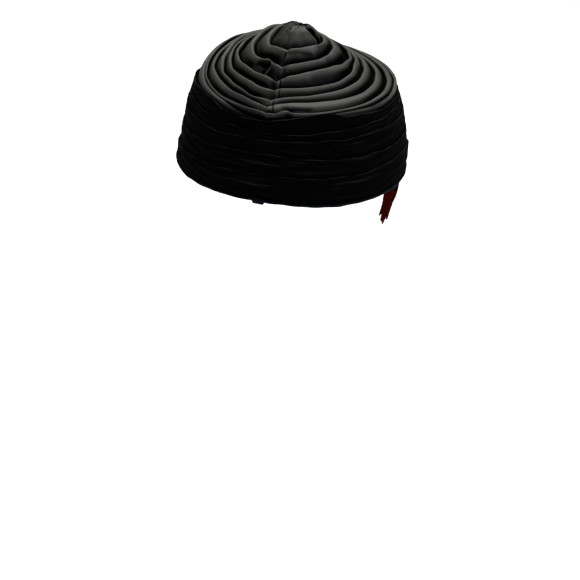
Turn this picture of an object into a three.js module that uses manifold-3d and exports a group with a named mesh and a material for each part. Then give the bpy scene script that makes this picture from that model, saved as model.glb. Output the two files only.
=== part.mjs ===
// A cocktail hat: a crown of pleated black satin on a wall of draped black velvet, with a bound
// rim and a small dark red tassel. Millimetres, +Z up. The origin is the middle of the head
// opening, in the plane of the rim. The wearer looks along +Y, so the seam at the back is at -Y,
// and the wearer's right is +X.

import * as THREE from 'three';
import { mergeVertices } from 'three/addons/utils/BufferGeometryUtils.js';
import Module from 'manifold-3d';

const wasm = await Module();
wasm.setup();

// Driving dimensions
const LENGTH_TO_WIDTH = 1.1; // the hat is an oval, longer from back to front
const TIP_HEIGHT = 113.4;
const SATIN_WALL = 2; // backing under the deepest groove of the pleats
const VELVET_WALL = 2.4; // backing behind the tucks' grooves
const RIM_WALL = 3; // the cloth is turned up here
const LAP_BOTTOM = 54; // the satin's edge goes down this far behind the velvet
const LAP_GAP = 0.4;
const CLOTH = 1; // one turned layer of binding
const GAP = 0.3;

// Places round the hat, in degrees from the back seam, positive to the wearer's right. Every
// table row below that has these columns gives one value for each place.
const ROUND = 360;
const STATION_STEP = 45;
const STATIONS = ['front', 'frontLeft', 'left', 'backLeft', 'back', 'backRight', 'right', 'frontRight'];
const FIRST_STATION = -180;

// Radius of the crown's brow, where its cloth turns down to the velvet.
const BROW = { front: 78.2, frontLeft: 76.7, left: 76.2, backLeft: 77.7,
  back: 79.1, backRight: 79.6, right: 81.1, frontRight: 80.6 };

// How far the crown swells above its plain slope, as a share of the swell column below.
const SWELL = { front: 0.4, frontLeft: 1, left: 0.5, backLeft: 0,
  back: 0, backRight: 0, right: 0, frontRight: 0 };

// The crown's slope under the pleats, from the tip outwards. share counts along the slope, out is
// the radius as a share of the brow's, and swell is the most that the full side stands higher.
const CROWN_SLOPE = [
  { share: 0, out: 0, height: TIP_HEIGHT, swell: 0 },
  { share: 0.12, out: 0.12, height: 109.5, swell: 3 },
  { share: 0.29, out: 0.29, height: 101.1, swell: 5.2 },
  { share: 0.42, out: 0.42, height: 94.6, swell: 5.6 },
  { share: 0.57, out: 0.57, height: 86.9, swell: 7.6 },
  { share: 0.65, out: 0.65, height: 82, swell: 10.4 },
  { share: 0.735, out: 0.735, height: 77.8, swell: 12.4 },
  { share: 0.83, out: 0.83, height: 74, swell: 12.5 },
  { share: 0.92, out: 0.92, height: 72, swell: 10.5 },
  { share: 0.985, out: 0.985, height: 70.4, swell: 7 },
  { share: 1.01, out: 1, height: 68, swell: 4 },
  { share: 1.04, out: 0.993, height: 64.7, swell: 1.5 },
  { share: 1.07, out: 0.985, height: 61.8, swell: 0 },
  { share: 1.15, out: 0.985, height: LAP_BOTTOM, swell: 0 },
];
const BROW_SHARE = 1.01; // where the slope is widest
const SKIRT = 0.985; // the satin's hidden edge, as a share of the brow's radius

// The satin folds, outermost first: where each fold's free edge lies on the slope, how far it
// juts out at the back seam, both as shares, and the depth in mm of the groove behind it.
const SATIN_FOLDS = [
  { front: 0.97, frontLeft: 0.965, left: 0.965, backLeft: 0.982,
    back: 1.05, backRight: 1.008, right: 1.008, frontRight: 0.985, jut: 0.03, groove: 2.3 },
  { front: 0.91, frontLeft: 0.92, left: 0.922, backLeft: 0.93,
    back: 0.975, backRight: 0.973, right: 0.944, frontRight: 0.9, jut: 0.043, groove: 3.2 },
  { front: 0.82, frontLeft: 0.84, left: 0.85, backLeft: 0.825,
    back: 0.845, backRight: 0.84, right: 0.845, frontRight: 0.8, jut: 0.075, groove: 4 },
  { front: 0.7, frontLeft: 0.745, left: 0.745, backLeft: 0.755,
    back: 0.775, backRight: 0.742, right: 0.727, frontRight: 0.69, jut: 0.05, groove: 3.8 },
  { front: 0.61, frontLeft: 0.68, left: 0.69, backLeft: 0.668,
    back: 0.69, backRight: 0.669, right: 0.627, frontRight: 0.585, jut: 0.03, groove: 3.8 },
  { front: 0.54, frontLeft: 0.61, left: 0.627, backLeft: 0.589,
    back: 0.575, backRight: 0.506, right: 0.527, frontRight: 0.51, jut: 0.05, groove: 4.2 },
  { front: 0.38, frontLeft: 0.465, left: 0.475, backLeft: 0.4715,
    back: 0.46, backRight: 0.423, right: 0.383, frontRight: 0.34, jut: 0.03, groove: 4.2 },
  { front: 0.24, frontLeft: 0.29, left: 0.31, backLeft: 0.329,
    back: 0.303, backRight: 0.2745, right: 0.265, frontRight: 0.22, jut: 0.018, groove: 3.8 },
];
const DEEPEST_GROOVE = 4.2;

// One satin fold's section, in mm: its face swells by belly and sinks by sag at the shoulder, and
// its lip turns down by drop. The rest are distances up the slope from the free edge.
const FOLD = { shoulder: 1.7, sag: 0.5, belly: 0.3, lip: 0.8, drop: 0.9, bottom: 1.2 };

// Past this share a fold goes down behind the velvet, and over the next stretch of the slope its
// groove closes to a part of its depth.
const TUCKED_FOLD = { from: 0.99, over: 0.05, groove: 0.4 };

// How fast the jut at the seam dies away, in degrees to each side.
const SEAM_REACH = { left: 16, right: 5 };

// The satin is drawn together in small gathers at the tip. The cap has its rings at these parts
// of the way from the tip to the last fold.
const TIP_GATHERS = { count: 5, depth: 0.9, radius: 8, dimple: 1.4 };
const CAP_RINGS = [0.84, 0.6, 0.4, 0.2, 0];

// The lining follows the slope at these shares, then bends down into the upright skirt.
const LINING_SHARES = [0, 0.14, 0.3, 0.46, 0.62, 0.76, 0.88];
const LINING_BEND = { inset: 0.6, top: 61.5, bottom: 58 };

// The free edges of the velvet tucks, lowest first: heights, and below them radii.
const VELVET_HEIGHTS = [
  { front: 16.4, frontLeft: 13.5, left: 13.5, backLeft: 20.1,
    back: 24.6, backRight: 21.8, right: 22, frontRight: 19.3 },
  { front: 32.8, frontLeft: 32, left: 32, backLeft: 36.1,
    back: 40.7, backRight: 35.2, right: 32.8, frontRight: 31.8 },
  { front: 48.3, frontLeft: 48.3, left: 49.2, backLeft: 49.2,
    back: 50.5, backRight: 50.9, right: 48.3, frontRight: 46.3 },
  { front: 57.5, frontLeft: 57, left: 60, backLeft: 58.3,
    back: 55.5, backRight: 56.9, right: 57.5, frontRight: 56.5 },
  { front: 65, frontLeft: 66, left: 69.8, backLeft: 70.6,
    back: 64.4, backRight: 67.1, right: 65.1, frontRight: 64.2 },
];
const VELVET_RADII = [
  { front: 91.7, frontLeft: 90.7, left: 90.7, backLeft: 91.2,
    back: 91.7, backRight: 92.4, right: 93, frontRight: 92.6 },
  { front: 88.8, frontLeft: 87.8, left: 87.8, backLeft: 88.7,
    back: 89.5, backRight: 90.3, right: 91.2, frontRight: 90 },
  { front: 86, frontLeft: 85.2, left: 85.2, backLeft: 86,
    back: 86.7, backRight: 87.2, right: 87.8, frontRight: 87 },
  { front: 83.2, frontLeft: 82, left: 81.9, backLeft: 83,
    back: 84, backRight: 84.2, right: 84.8, frontRight: 84.2 },
  { front: 81, frontLeft: 79.6, left: 79.6, backLeft: 80.3,
    back: 81.6, backRight: 82.2, right: 83, frontRight: 82.5 },
];
// One tuck's section: belly is how far up its face stands out most, bulge by how much, and turn
// and inset round its free edge. The next tuck starts in the groove, lift above that edge.
const TUCK = { belly: 0.45, bulge: 0.9, turn: 1.5, inset: 0.6, groove: 2, lift: 0.4 };

// The rim's lower edge, round the outside of its binding.
const RIM_HEIGHT = { front: 0.8, frontLeft: 1.2, left: 1.2, backLeft: 2.3,
  back: 1.3, backRight: -1.6, right: -1.5, frontRight: -0.5 };
const RIM_RADIUS = { front: 91.7, frontLeft: 92.8, left: 93.4, backLeft: 92.3,
  back: 90.7, backRight: 92.2, right: 93.9, frontRight: 93.1 };

// The binding folds over the rim. Its end laps over its start 2 degrees left of the back seam.
const BINDING = { outside: 2.4, inside: 7, round: 0.6, lapAngle: -2, lapReach: 3, lapRise: 0.9 };

// The tassel hangs under the rim at the right front, from a plain strap outside the wall.
const TASSEL = { x: 81.6, y: 42, top: -12.5, tip: -63.5, leanX: 0.2, leanY: 0.05 };
const TASSEL_NECK = { crown: 2.5, radius: 3.6, grow: 0.3, swell: 0.7, length: 15, rings: 3, sides: 12 };
const NECK_OVERLAP = { below: 4, above: 3 }; // the neck's end and the locks' starts reach into each other
const TASSEL_LOCKS = [
  { bearing: 10, spread: 3.6, reach: 0.93, radius: 1.9 },
  { bearing: 62, spread: 3.3, reach: 0.84, radius: 1.8 },
  { bearing: 113, spread: 3.5, reach: 0.99, radius: 1.9 },
  { bearing: 165, spread: 3.7, reach: 0.88, radius: 1.8 },
  { bearing: 217, spread: 3.3, reach: 1, radius: 1.9 },
  { bearing: 268, spread: 3.6, reach: 0.8, radius: 1.8 },
  { bearing: 318, spread: 3.4, reach: 0.95, radius: 1.9 },
  { bearing: 0, spread: 0, reach: 0.9, radius: 2.6 },
];
// Along a lock, from its start to its tip: its thickness and how far it stands out from the
// middle, as parts of its radius and its spread.
const LOCK_STOPS = [
  { part: 0, size: 0, out: 0.59 },
  { part: 0.01, size: 0.75, out: 0.59 },
  { part: 0.2, size: 1, out: 0.81 },
  { part: 0.55, size: 0.95, out: 0.92 },
  { part: 0.85, size: 0.6, out: 0.7 },
  { part: 1, size: 0, out: 0.66 },
];
const LOCK_SIDES = 6;
const STRAP = { width: 9, thick: 1.2, top: 11, bend: -3, end: 2, angle: 116.5 };

const SATIN = { color: 0x2f302d, roughness: 0.42, metalness: 0 };
const VELVET = { color: 0x060807, roughness: 0.95, metalness: 0 };
const EDGE_SATIN = { color: 0x080a12, roughness: 0.45, metalness: 0 };
const RED_THREAD = { color: 0x5a0d08, roughness: 0.8, metalness: 0 };
const BLACK_TAPE = { color: 0x0b0b0c, roughness: 0.8, metalness: 0 };

const radians = THREE.MathUtils.degToRad;

// Cubic through four evenly spaced values, at part way t from the second to the third.
function catmullRom(before, from, to, after, t) {
  const slope = to - before;
  const bend = 2 * before - 5 * from + 4 * to - after;
  const twist = 3 * (from - to) + after - before;
  return from + 0.5 * t * (slope + t * (bend + t * twist));
}

// The value of a table row at any angle round the hat.
function roundHat(row, angle) {
  const place = (((angle - FIRST_STATION) % ROUND) + ROUND) % ROUND / STATION_STEP;
  const i = Math.floor(place);
  const at = (k) => row[STATIONS[(k + STATIONS.length) % STATIONS.length]];
  return catmullRom(at(i - 1), at(i), at(i + 1), at(i + 2), place - i);
}

function mix(from, to, t) {
  return from + (to - from) * t;
}

// A column of the slope table at a share along it.
function slopeColumn(column, share) {
  const last = CROWN_SLOPE.length - 1;
  let i = 0;
  while (i < last - 1 && CROWN_SLOPE[i + 1].share < share) i += 1;
  const from = CROWN_SLOPE[i];
  const to = CROWN_SLOPE[i + 1];
  const t = (share - from.share) / (to.share - from.share);
  return mix(from[column], to[column], Math.min(t, 1));
}

// A point of the crown's slope at a share and an angle, moved off it along its normal.
function crownPoint(share, angle, off = 0) {
  const brow = roundHat(BROW, angle);
  const swell = roundHat(SWELL, angle);
  const at = (s) => new THREE.Vector2(
    brow * slopeColumn('out', s),
    slopeColumn('height', s) + swell * slopeColumn('swell', s),
  );
  const nudge = 0.025;
  const along = at(share + nudge).sub(at(Math.max(share - nudge, 0))).normalize();
  const here = at(share);
  return [here.x - along.y * off, here.y + along.x * off];
}

function seamJut(angle) {
  const reach = angle < 0 ? SEAM_REACH.left : SEAM_REACH.right;
  return Math.exp(-Math.abs(angle) / reach);
}

// A point of the small cap inside the last fold, with the gathers at the tip.
function capPoint(share, angle) {
  const [radius, height] = crownPoint(share, angle);
  const near = Math.exp(-((radius / TIP_GATHERS.radius) ** 2));
  const swell = Math.min(radius / TIP_GATHERS.radius, 1);
  const wave = TIP_GATHERS.depth * Math.cos(radians(angle * TIP_GATHERS.count));
  return [radius, height + wave * near * swell - TIP_GATHERS.dimple * (1 - swell) ** 2];
}

// One fold: its face from the last groove, its rounded free edge, and the groove behind it.
function foldPoints(share, groove, start, angle) {
  const brow = roundHat(BROW, angle);
  const shoulder = crownPoint(share + FOLD.shoulder / brow, angle, -FOLD.sag);
  const middle = [(start[0] + shoulder[0]) / 2, (start[1] + shoulder[1]) / 2 + FOLD.belly];
  const edge = crownPoint(share, angle);
  const lip = crownPoint(share - FOLD.lip / brow, angle, -FOLD.drop);
  const bottom = crownPoint(share - FOLD.bottom / brow, angle, -groove);
  return [middle, shoulder, edge, lip, bottom];
}

// The crown's section at an angle: from the inside of the tip down the lining, round the skirt's
// edge, and up over the folds to the outside of the tip.
function crownSection(angle) {
  const skirt = SKIRT * roundHat(BROW, angle);
  const lining = skirt - SATIN_WALL;
  const deep = DEEPEST_GROOVE + SATIN_WALL;
  const inside = LINING_SHARES.map((share) => crownPoint(share, angle, -deep));
  inside[0] = [0, TIP_HEIGHT - deep - TIP_GATHERS.dimple];
  inside.push([lining - LINING_BEND.inset, LINING_BEND.top], [lining, LINING_BEND.bottom]);
  inside.push([lining, LAP_BOTTOM]);
  const outside = [[skirt, LAP_BOTTOM]];
  for (const fold of SATIN_FOLDS) {
    const share = roundHat(fold, angle) + fold.jut * seamJut(angle);
    const past = (share - TUCKED_FOLD.from) / TUCKED_FOLD.over;
    const tucked = THREE.MathUtils.clamp(past, 0, 1);
    const groove = fold.groove * mix(1, TUCKED_FOLD.groove, tucked);
    outside.push(...foldPoints(share, groove, outside[outside.length - 1], angle));
  }
  const cap = roundHat(SATIN_FOLDS[SATIN_FOLDS.length - 1], angle);
  for (const part of CAP_RINGS) outside.push(capPoint(cap * part, angle));
  outside[outside.length - 1][0] = 0;
  return [...inside, ...outside];
}

// The band's lower edge, held inside the binding.
function bandRim(angle) {
  return {
    radius: roundHat(RIM_RADIUS, angle) - CLOTH - GAP,
    height: roundHat(RIM_HEIGHT, angle) + CLOTH + GAP,
  };
}

// The inner radius of the band where it covers the satin: it clears all of the crown below the
// top tuck's edge.
function lapRadius(angle) {
  const top = roundHat(VELVET_HEIGHTS[VELVET_HEIGHTS.length - 1], angle);
  let share = BROW_SHARE;
  while (crownPoint(share, angle)[1] > top) share += 0.005;
  return crownPoint(share, angle)[0] + LAP_GAP;
}

// The band's section at an angle: up the outside over the tucks, and down the inside.
function bandSection(angle) {
  const rim = bandRim(angle);
  const lap = lapRadius(angle);
  const outside = [
    [rim.radius - TUCK.inset, rim.height],
    [rim.radius, rim.height + TUCK.inset],
  ];
  const inside = [];
  let start = outside[1];
  VELVET_HEIGHTS.forEach((row, k) => {
    const height = roundHat(row, angle);
    const radius = roundHat(VELVET_RADII[k], angle);
    const stand = mix(start[0], radius, TUCK.belly) + TUCK.bulge;
    outside.push([stand, mix(start[1], height, TUCK.belly)]);
    outside.push([radius, height - TUCK.turn], [radius - TUCK.inset, height]);
    if (k === VELVET_HEIGHTS.length - 1) {
      inside.unshift([lap, height - TUCK.inset]);
      return;
    }
    start = [radius - TUCK.groove, height + TUCK.lift];
    outside.push(start);
    inside.unshift([Math.max(start[0] - VELVET_WALL, lap), Math.min(start[1], LAP_BOTTOM - CLOTH)]);
  });
  const turnUp = rim.radius - RIM_WALL;
  inside.push([turnUp, rim.height + BINDING.inside], [turnUp, rim.height]);
  return [...outside, ...inside];
}

// The binding's section at an angle: up the outer leg, down into the fold and over the inner leg.
function bindingSection(angle) {
  const off = (angle - BINDING.lapAngle) / BINDING.lapReach;
  const lap = BINDING.lapRise * Math.exp(-(off ** 2));
  const height = roundHat(RIM_HEIGHT, angle);
  const outer = roundHat(RIM_RADIUS, angle);
  const inner = outer - 2 * (CLOTH + GAP) - RIM_WALL;
  return [
    [outer - BINDING.round + lap, height - lap],
    [outer + lap, height + BINDING.round],
    [outer + lap, height + BINDING.outside],
    [outer - CLOTH, height + BINDING.outside],
    [outer - CLOTH, height + CLOTH],
    [inner + CLOTH, height + CLOTH],
    [inner + CLOTH, height + BINDING.inside],
    [inner, height + BINDING.inside],
    [inner, height],
  ];
}

function hatPoint([radius, height], angle) {
  const turn = radians(angle);
  return [radius * Math.sin(turn), -LENGTH_TO_WIDTH * radius * Math.cos(turn), height];
}

// Angles round the hat, closer together at the back seam.
function anglesRound() {
  const spans = [
    { to: -30, step: 7.5 },
    { to: -12, step: 6 },
    { to: 12, step: 3 },
    { to: 30, step: 6 },
    { to: ROUND / 2, step: 7.5 },
  ];
  const angles = [];
  let angle = FIRST_STATION;
  for (const span of spans) {
    for (; angle < span.to; angle += span.step) angles.push(angle);
  }
  return angles;
}

// Merges shared vertices and drops the flat triangles at a pole.
function closedBody(geometry) {
  geometry.deleteAttribute('normal');
  geometry.deleteAttribute('uv');
  const merged = mergeVertices(geometry, 1e-4);
  const index = merged.index.array;
  const kept = [];
  for (let i = 0; i < index.length; i += 3) {
    const [a, b, c] = [index[i], index[i + 1], index[i + 2]];
    if (a !== b && b !== c && c !== a) kept.push(a, b, c);
  }
  merged.setIndex(kept);
  merged.computeVertexNormals();
  return merged;
}

// A lathe whose section changes round the hat. sectionAt(angle) gives the same number of
// [radius, height] points at every angle.
function hatLathe(sectionAt) {
  const angles = anglesRound();
  const first = sectionAt(angles[0]).map(([radius, height]) => new THREE.Vector2(radius, height));
  const geometry = new THREE.LatheGeometry(first, angles.length);
  const place = geometry.attributes.position;
  for (let turn = 0; turn <= angles.length; turn += 1) {
    const angle = angles[turn % angles.length];
    sectionAt(angle).forEach((point, station) => {
      place.setXYZ(turn * first.length + station, ...hatPoint(point, angle));
    });
  }
  return closedBody(geometry);
}

// The same, for a ring whose section closes on itself.
function hatRing(sectionAt) {
  return hatLathe((angle) => {
    const points = sectionAt(angle);
    return [...points, points[0]];
  });
}

// A closed mesh as a solid that can be joined, and back.
function toSolid(geometry) {
  const vertProperties = new Float32Array(geometry.attributes.position.array);
  const triVerts = new Uint32Array(geometry.index.array);
  return new wasm.Manifold(new wasm.Mesh({ numProp: 3, vertProperties, triVerts }));
}

function toGeometry(solid) {
  const mesh = solid.getMesh();
  const geometry = new THREE.BufferGeometry();
  geometry.setAttribute('position', new THREE.BufferAttribute(mesh.vertProperties, 3));
  geometry.setIndex(new THREE.BufferAttribute(mesh.triVerts, 1));
  return closedBody(geometry);
}

// A lathe about a leaning line under the rim. rows are [radius, depth below the tassel's top].
function tasselLathe(rows, sides, sideways = () => [0, 0]) {
  const profile = [...rows].reverse().map(([radius, depth]) => new THREE.Vector2(radius, -depth));
  const geometry = new THREE.LatheGeometry(profile, sides);
  geometry.rotateX(Math.PI / 2);
  const place = geometry.attributes.position;
  for (let i = 0; i < place.count; i += 1) {
    const z = place.getZ(i);
    const [dx, dy] = sideways(-z);
    place.setXYZ(
      i,
      TASSEL.x + TASSEL.leanX * z + place.getX(i) + dx,
      TASSEL.y + TASSEL.leanY * z + place.getY(i) + dy,
      TASSEL.top + z,
    );
  }
  return closedBody(geometry);
}

// The wound neck at the top of the tassel, with a few rings of thread.
function tasselNeck() {
  const rows = [[0, 0], [TASSEL_NECK.crown, 0]];
  const ring = TASSEL_NECK.length / TASSEL_NECK.rings;
  for (let k = 0; k < TASSEL_NECK.rings; k += 1) {
    const radius = TASSEL_NECK.radius + TASSEL_NECK.grow * k;
    rows.push([radius, (k + 1 / 6) * ring]);
    rows.push([radius + TASSEL_NECK.swell, (k + 1 / 2) * ring]);
    rows.push([radius, (k + 5 / 6) * ring]);
  }
  rows.push([0, TASSEL_NECK.length + NECK_OVERLAP.below]);
  return tasselLathe(rows, TASSEL_NECK.sides);
}

// A column of the lock's stops at a part of the way along it.
function lockColumn(column, part) {
  const i = Math.max(LOCK_STOPS.findIndex((stop) => stop.part >= part), 1);
  const [from, to] = [LOCK_STOPS[i - 1], LOCK_STOPS[i]];
  return mix(from[column], to[column], (part - from.part) / (to.part - from.part));
}

// One lock of threads: it leaves the neck, spreads, and tapers to its tip.
function tasselLock(lock) {
  const start = TASSEL_NECK.length - NECK_OVERLAP.above;
  const length = (TASSEL.top - TASSEL.tip) * lock.reach - start;
  const turn = radians(lock.bearing);
  const rows = LOCK_STOPS.map(({ part, size }) => [lock.radius * size, start + length * part]);
  return tasselLathe(rows, LOCK_SIDES, (depth) => {
    const out = lock.spread * lockColumn('out', THREE.MathUtils.clamp((depth - start) / length, 0, 1));
    return [out * Math.cos(turn), out * Math.sin(turn)];
  });
}

// A plain strap: down the outside of the wall, then in under the rim to the tassel's top.
function strapGeometry() {
  const rim = roundHat(RIM_RADIUS, STRAP.angle);
  const wall = Math.max(rim, roundHat(VELVET_RADII[0], STRAP.angle)) + TUCK.bulge + 2 * GAP;
  const outward = new THREE.Vector3(...hatPoint([1, 0], STRAP.angle));
  const face = wall * outward.length();
  const hang = Math.hypot(TASSEL.x, TASSEL.y);
  const end = TASSEL.top + GAP;
  const side = new THREE.Shape();
  side.moveTo(face, STRAP.top);
  side.lineTo(face, STRAP.bend);
  side.lineTo(hang - STRAP.thick, end + STRAP.end);
  side.lineTo(hang - STRAP.thick, end);
  side.lineTo(hang + STRAP.thick, end);
  side.lineTo(face + STRAP.thick, STRAP.bend - STRAP.thick);
  side.lineTo(face + STRAP.thick, STRAP.top);
  side.closePath();
  const geometry = new THREE.ExtrudeGeometry(side, { depth: STRAP.width, bevelEnabled: false });
  geometry.translate(0, 0, -STRAP.width / 2);
  geometry.rotateX(Math.PI / 2);
  geometry.rotateZ(Math.atan2(outward.y, outward.x));
  return closedBody(geometry);
}

function part(name, geometry, finish) {
  const mesh = new THREE.Mesh(geometry, new THREE.MeshStandardMaterial(finish));
  mesh.name = name;
  return mesh;
}

function tasselGeometry() {
  const locks = TASSEL_LOCKS.map((lock) => toSolid(tasselLock(lock)));
  const joined = locks.reduce((whole, lock) => whole.add(lock), toSolid(tasselNeck()));
  return toGeometry(joined);
}

const hat = new THREE.Group();
hat.name = 'cocktail_hat';
hat.add(
  part('satin_crown', hatLathe(crownSection), SATIN),
  part('velvet_band', hatRing(bandSection), VELVET),
  part('rim_binding', hatRing(bindingSection), EDGE_SATIN),
  part('tassel', tasselGeometry(), RED_THREAD),
  part('tassel_strap', strapGeometry(), BLACK_TAPE),
);

export default hat;
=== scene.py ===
"""Looks of a cocktail hat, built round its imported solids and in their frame.

The hat has a crown of ringed black satin pleats on a wall of draped black velvet, a bound rim and a
small frayed tassel that hangs below the rim at the wearer's right front. Every table is in
millimetres with +Z up. Angles go round the hat in degrees from the back seam at -Y, positive to the
wearer's right.
"""

from __future__ import annotations

import logging
from dataclasses import dataclass, field
from enum import Enum
from typing import NamedTuple

import bpy
import numpy as np
from mathutils import Matrix, Vector


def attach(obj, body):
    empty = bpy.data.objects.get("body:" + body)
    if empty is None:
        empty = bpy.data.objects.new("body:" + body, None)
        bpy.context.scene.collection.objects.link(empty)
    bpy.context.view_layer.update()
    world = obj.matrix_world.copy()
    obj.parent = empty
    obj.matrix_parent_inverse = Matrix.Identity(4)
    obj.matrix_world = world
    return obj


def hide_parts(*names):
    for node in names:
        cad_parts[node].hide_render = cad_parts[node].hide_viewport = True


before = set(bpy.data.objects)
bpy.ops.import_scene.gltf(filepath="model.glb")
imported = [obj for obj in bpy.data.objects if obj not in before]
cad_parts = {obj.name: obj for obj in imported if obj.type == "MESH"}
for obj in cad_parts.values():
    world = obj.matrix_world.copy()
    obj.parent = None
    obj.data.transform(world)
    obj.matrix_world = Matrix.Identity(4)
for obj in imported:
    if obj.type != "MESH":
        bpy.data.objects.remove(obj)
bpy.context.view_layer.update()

LOG = logging.getLogger("cocktail_hat")
MM = 0.001
LENGTH_TO_WIDTH = 1.1
FULL_TURN = 360.0
STATION_STEP = 45.0
FIRST_STATION = -180.0
BODY = "root"

Array = np.ndarray
Value = Array | float
Ring = tuple[Array, Array]
Stops = tuple[float, ...]
Pair = tuple[float, float]
Place = tuple[float, float, float]
Colour = tuple[float, float, float]
Window = tuple[float, float, float, float]
Socket = bpy.types.NodeSocket
Material = bpy.types.Material
Piece = bpy.types.Object


class Slot(Enum):
    """The record's material slots."""

    BLACK_SATIN = "black_satin"
    BLACK_VELVET = "black_velvet"
    EDGE_SATIN = "edge_satin"
    RED_THREAD = "red_thread"
    BLACK_TAPE = "black_tape"


class Held(Enum):
    """How a sheet of cloth is held in the hat."""

    GATHERED = "gathered"
    FOLDED = "folded"
    HUNG = "hung"


class Round(NamedTuple):
    """One value for each of eight places round the hat."""

    front: float
    front_left: float
    left: float
    back_left: float
    back: float
    back_right: float
    right: float
    front_right: float

    def at(self, angle: Array) -> Array:
        """Reads the row at any angle, on a smooth curve through its eight values.

        Args:
            angle: Degrees from the back seam.

        Returns:
            The value at each angle.
        """
        values = np.array(self)
        place = ((angle - FIRST_STATION) % FULL_TURN) / STATION_STEP
        i = np.floor(place).astype(int)
        t = place - i
        a, b, c, d = (values[(i + k) % len(values)] for k in (-1, 0, 1, 2))
        return b + 0.5 * t * ((c - a) + t * ((2 * a - 5 * b + 4 * c - d) + t * (3 * (b - c) + d - a)))


class SlopeStop(NamedTuple):
    """One stop down the crown's slope, from the tip outwards."""

    share: float
    out: float
    height: float
    swell: float


class Bend(NamedTuple):
    """A local shift of a fold's free edge, and its lift in mm, round one angle."""

    angle: float
    reach: float
    shift: float
    lift: float = 0.0

    def at(self, angle: Array) -> Array:
        """Returns how much the bend acts at each angle, from 0 to 1."""
        away = (angle - self.angle + FULL_TURN / 2) % FULL_TURN - FULL_TURN / 2
        return np.exp(-((away / self.reach) ** 2))


class SatinFold(NamedTuple):
    """One satin fold: its free edge's place on the slope, its jut at the seam and its groove."""

    line: Round
    jut: float
    groove: float
    bends: tuple[Bend, ...] = ()
    widest: float = 1.9


class Tuck(NamedTuple):
    """One velvet tuck's free edge: its heights and its radii round the hat."""

    height: Round
    radius: Round


class Crease(NamedTuple):
    """A local ridge or dent from one point to another in plan, in mm.

    rise is below 0 for a dent. lit is above 0 for a painted highlight and below 0 for painted shade.
    """

    start: Pair
    end: Pair
    width: float
    rise: float
    lit: float = 0.0


class Tint(NamedTuple):
    """A place on the satin given a cool, dull painted shade, from one point to another in plan, in mm."""

    start: Pair
    end: Pair
    width: float
    share: float


class CrushedPatch(NamedTuple):
    """A place on the wall where the pile is crushed and gets a painted sheen: its middle, its half sizes and
    how strongly.
    """

    angle: float
    height: float
    reach: float
    tall: float
    share: float


class Gather(NamedTuple):
    """Small radial gathers round the tip: their height, how many there are and their turn."""

    size: float
    count: int
    phase: float


class Lamp(NamedTuple):
    """A soft rectangular light that looks at the hat, in metres and watts."""

    name: str
    place: Place
    size: Pair
    power: float
    colour: Colour


class Ripple(NamedTuple):
    """Smooth seeded waves round the hat, that join up after one turn."""

    size: float
    seed: int
    fewest: int
    most: int
    count: int = 12

    def at(self, angle: Array, k: int = 0) -> Array:
        """Draws the waves and reads them.

        Args:
            angle: Degrees from the back seam.
            k: Number of the fold, as each fold has waves of its own.

        Returns:
            The height of the waves at each angle.
        """
        draw = np.random.default_rng(self.seed + k)
        turns = draw.integers(self.fewest, self.most + 1, self.count)
        phase = draw.uniform(0, 2 * np.pi, self.count)
        waves = np.sin(np.radians(angle)[..., None] * turns + phase)
        return self.size * (waves.sum(-1) * np.sqrt(2 / self.count))


class Crush(NamedTuple):
    """Smooth seeded dents in pile cloth, long round the hat and short up the wall, in mm."""

    size: float
    seed: int
    turns: tuple[int, int]
    tall: Pair
    count: int = 40

    def at(self, angle: Array, height: Array) -> Array:
        """Draws the dents and reads them.

        Args:
            angle: Degrees from the back seam.
            height: Height on the wall at each angle.

        Returns:
            The dents' depth at each angle.
        """
        draw = np.random.default_rng(self.seed)
        turns = draw.integers(self.turns[0], self.turns[1] + 1, self.count) * draw.choice([-1, 1], self.count)
        up = 2 * np.pi / draw.uniform(*self.tall, self.count)
        phase = draw.uniform(0, 2 * np.pi, self.count)
        waves = np.sin(np.radians(angle)[..., None] * turns + height[..., None] * up + phase)
        return self.size * (waves.sum(-1) * np.sqrt(2 / self.count))


def mix(start: Value, end: Value, t: Value) -> Value:
    """Returns the value part way t from start to end."""
    return start + (end - start) * t


def smooth_step(low: Value, high: Value, value: Value) -> Value:
    """Returns 0 below low, 1 above high and a smooth rise between them."""
    t = np.clip((value - low) / (high - low), 0, 1)
    return t * t * (3 - 2 * t)


def fade(low: Value, high: Value, value: Value) -> Value:
    """Returns 1 below low, 0 above high and a smooth fall between them."""
    return 1 - smooth_step(low, high, value)


def within(window: Window, value: Array) -> Array:
    """Returns 1 inside a window and 0 outside, with a smooth rise and fall at its two ends."""
    return smooth_step(window[0], window[1], value) * fade(window[2], window[3], value)


def angles_round(coarse: float, fine: float, left: float, right: float) -> Array:
    """Spaces angles round the hat, closer together near the back seam and never on it.

    Args:
        coarse: Step away from the seam, in degrees.
        fine: Step near the seam.
        left: How far the fine steps go to the wearer's left of the seam.
        right: How far they go to the right.

    Returns:
        The angles, with the first one's full turn at the end.
    """
    half = FULL_TURN / 2
    far_left = np.linspace(-half, -left, round((half - left) / coarse), endpoint=False)
    near = np.arange(-round(left / fine), round(right / fine)) * fine + fine / 2
    far_right = np.linspace(half, right, round((half - right) / coarse), endpoint=False)[::-1]
    return np.concatenate([far_left, near, far_right])


def weight_near(points: Array, line: Crease | Tint) -> Array:
    """Measures how strongly a crease or a tint acts.

    Args:
        points: Points in mm.
        line: The crease or tint.

    Returns:
        Its weight at each point, from 0 to 1.
    """
    start, end = np.array(line.start), np.array(line.end)
    way, plan = end - start, points[..., :2]
    along = np.clip(((plan - start) @ way) / (way @ way), 0, 1)
    away = np.linalg.norm(plan - start - along[..., None] * way, axis=-1)
    return np.exp(-((away / line.width) ** 2))


def lengths_along(points: Array) -> Array:
    """Returns how far along the first axis of an array of points each one is, with 0 for the first."""
    run = np.linalg.norm(np.diff(points, axis=0), axis=-1).cumsum(0)
    return np.concatenate([np.zeros_like(run[:1]), run])


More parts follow.
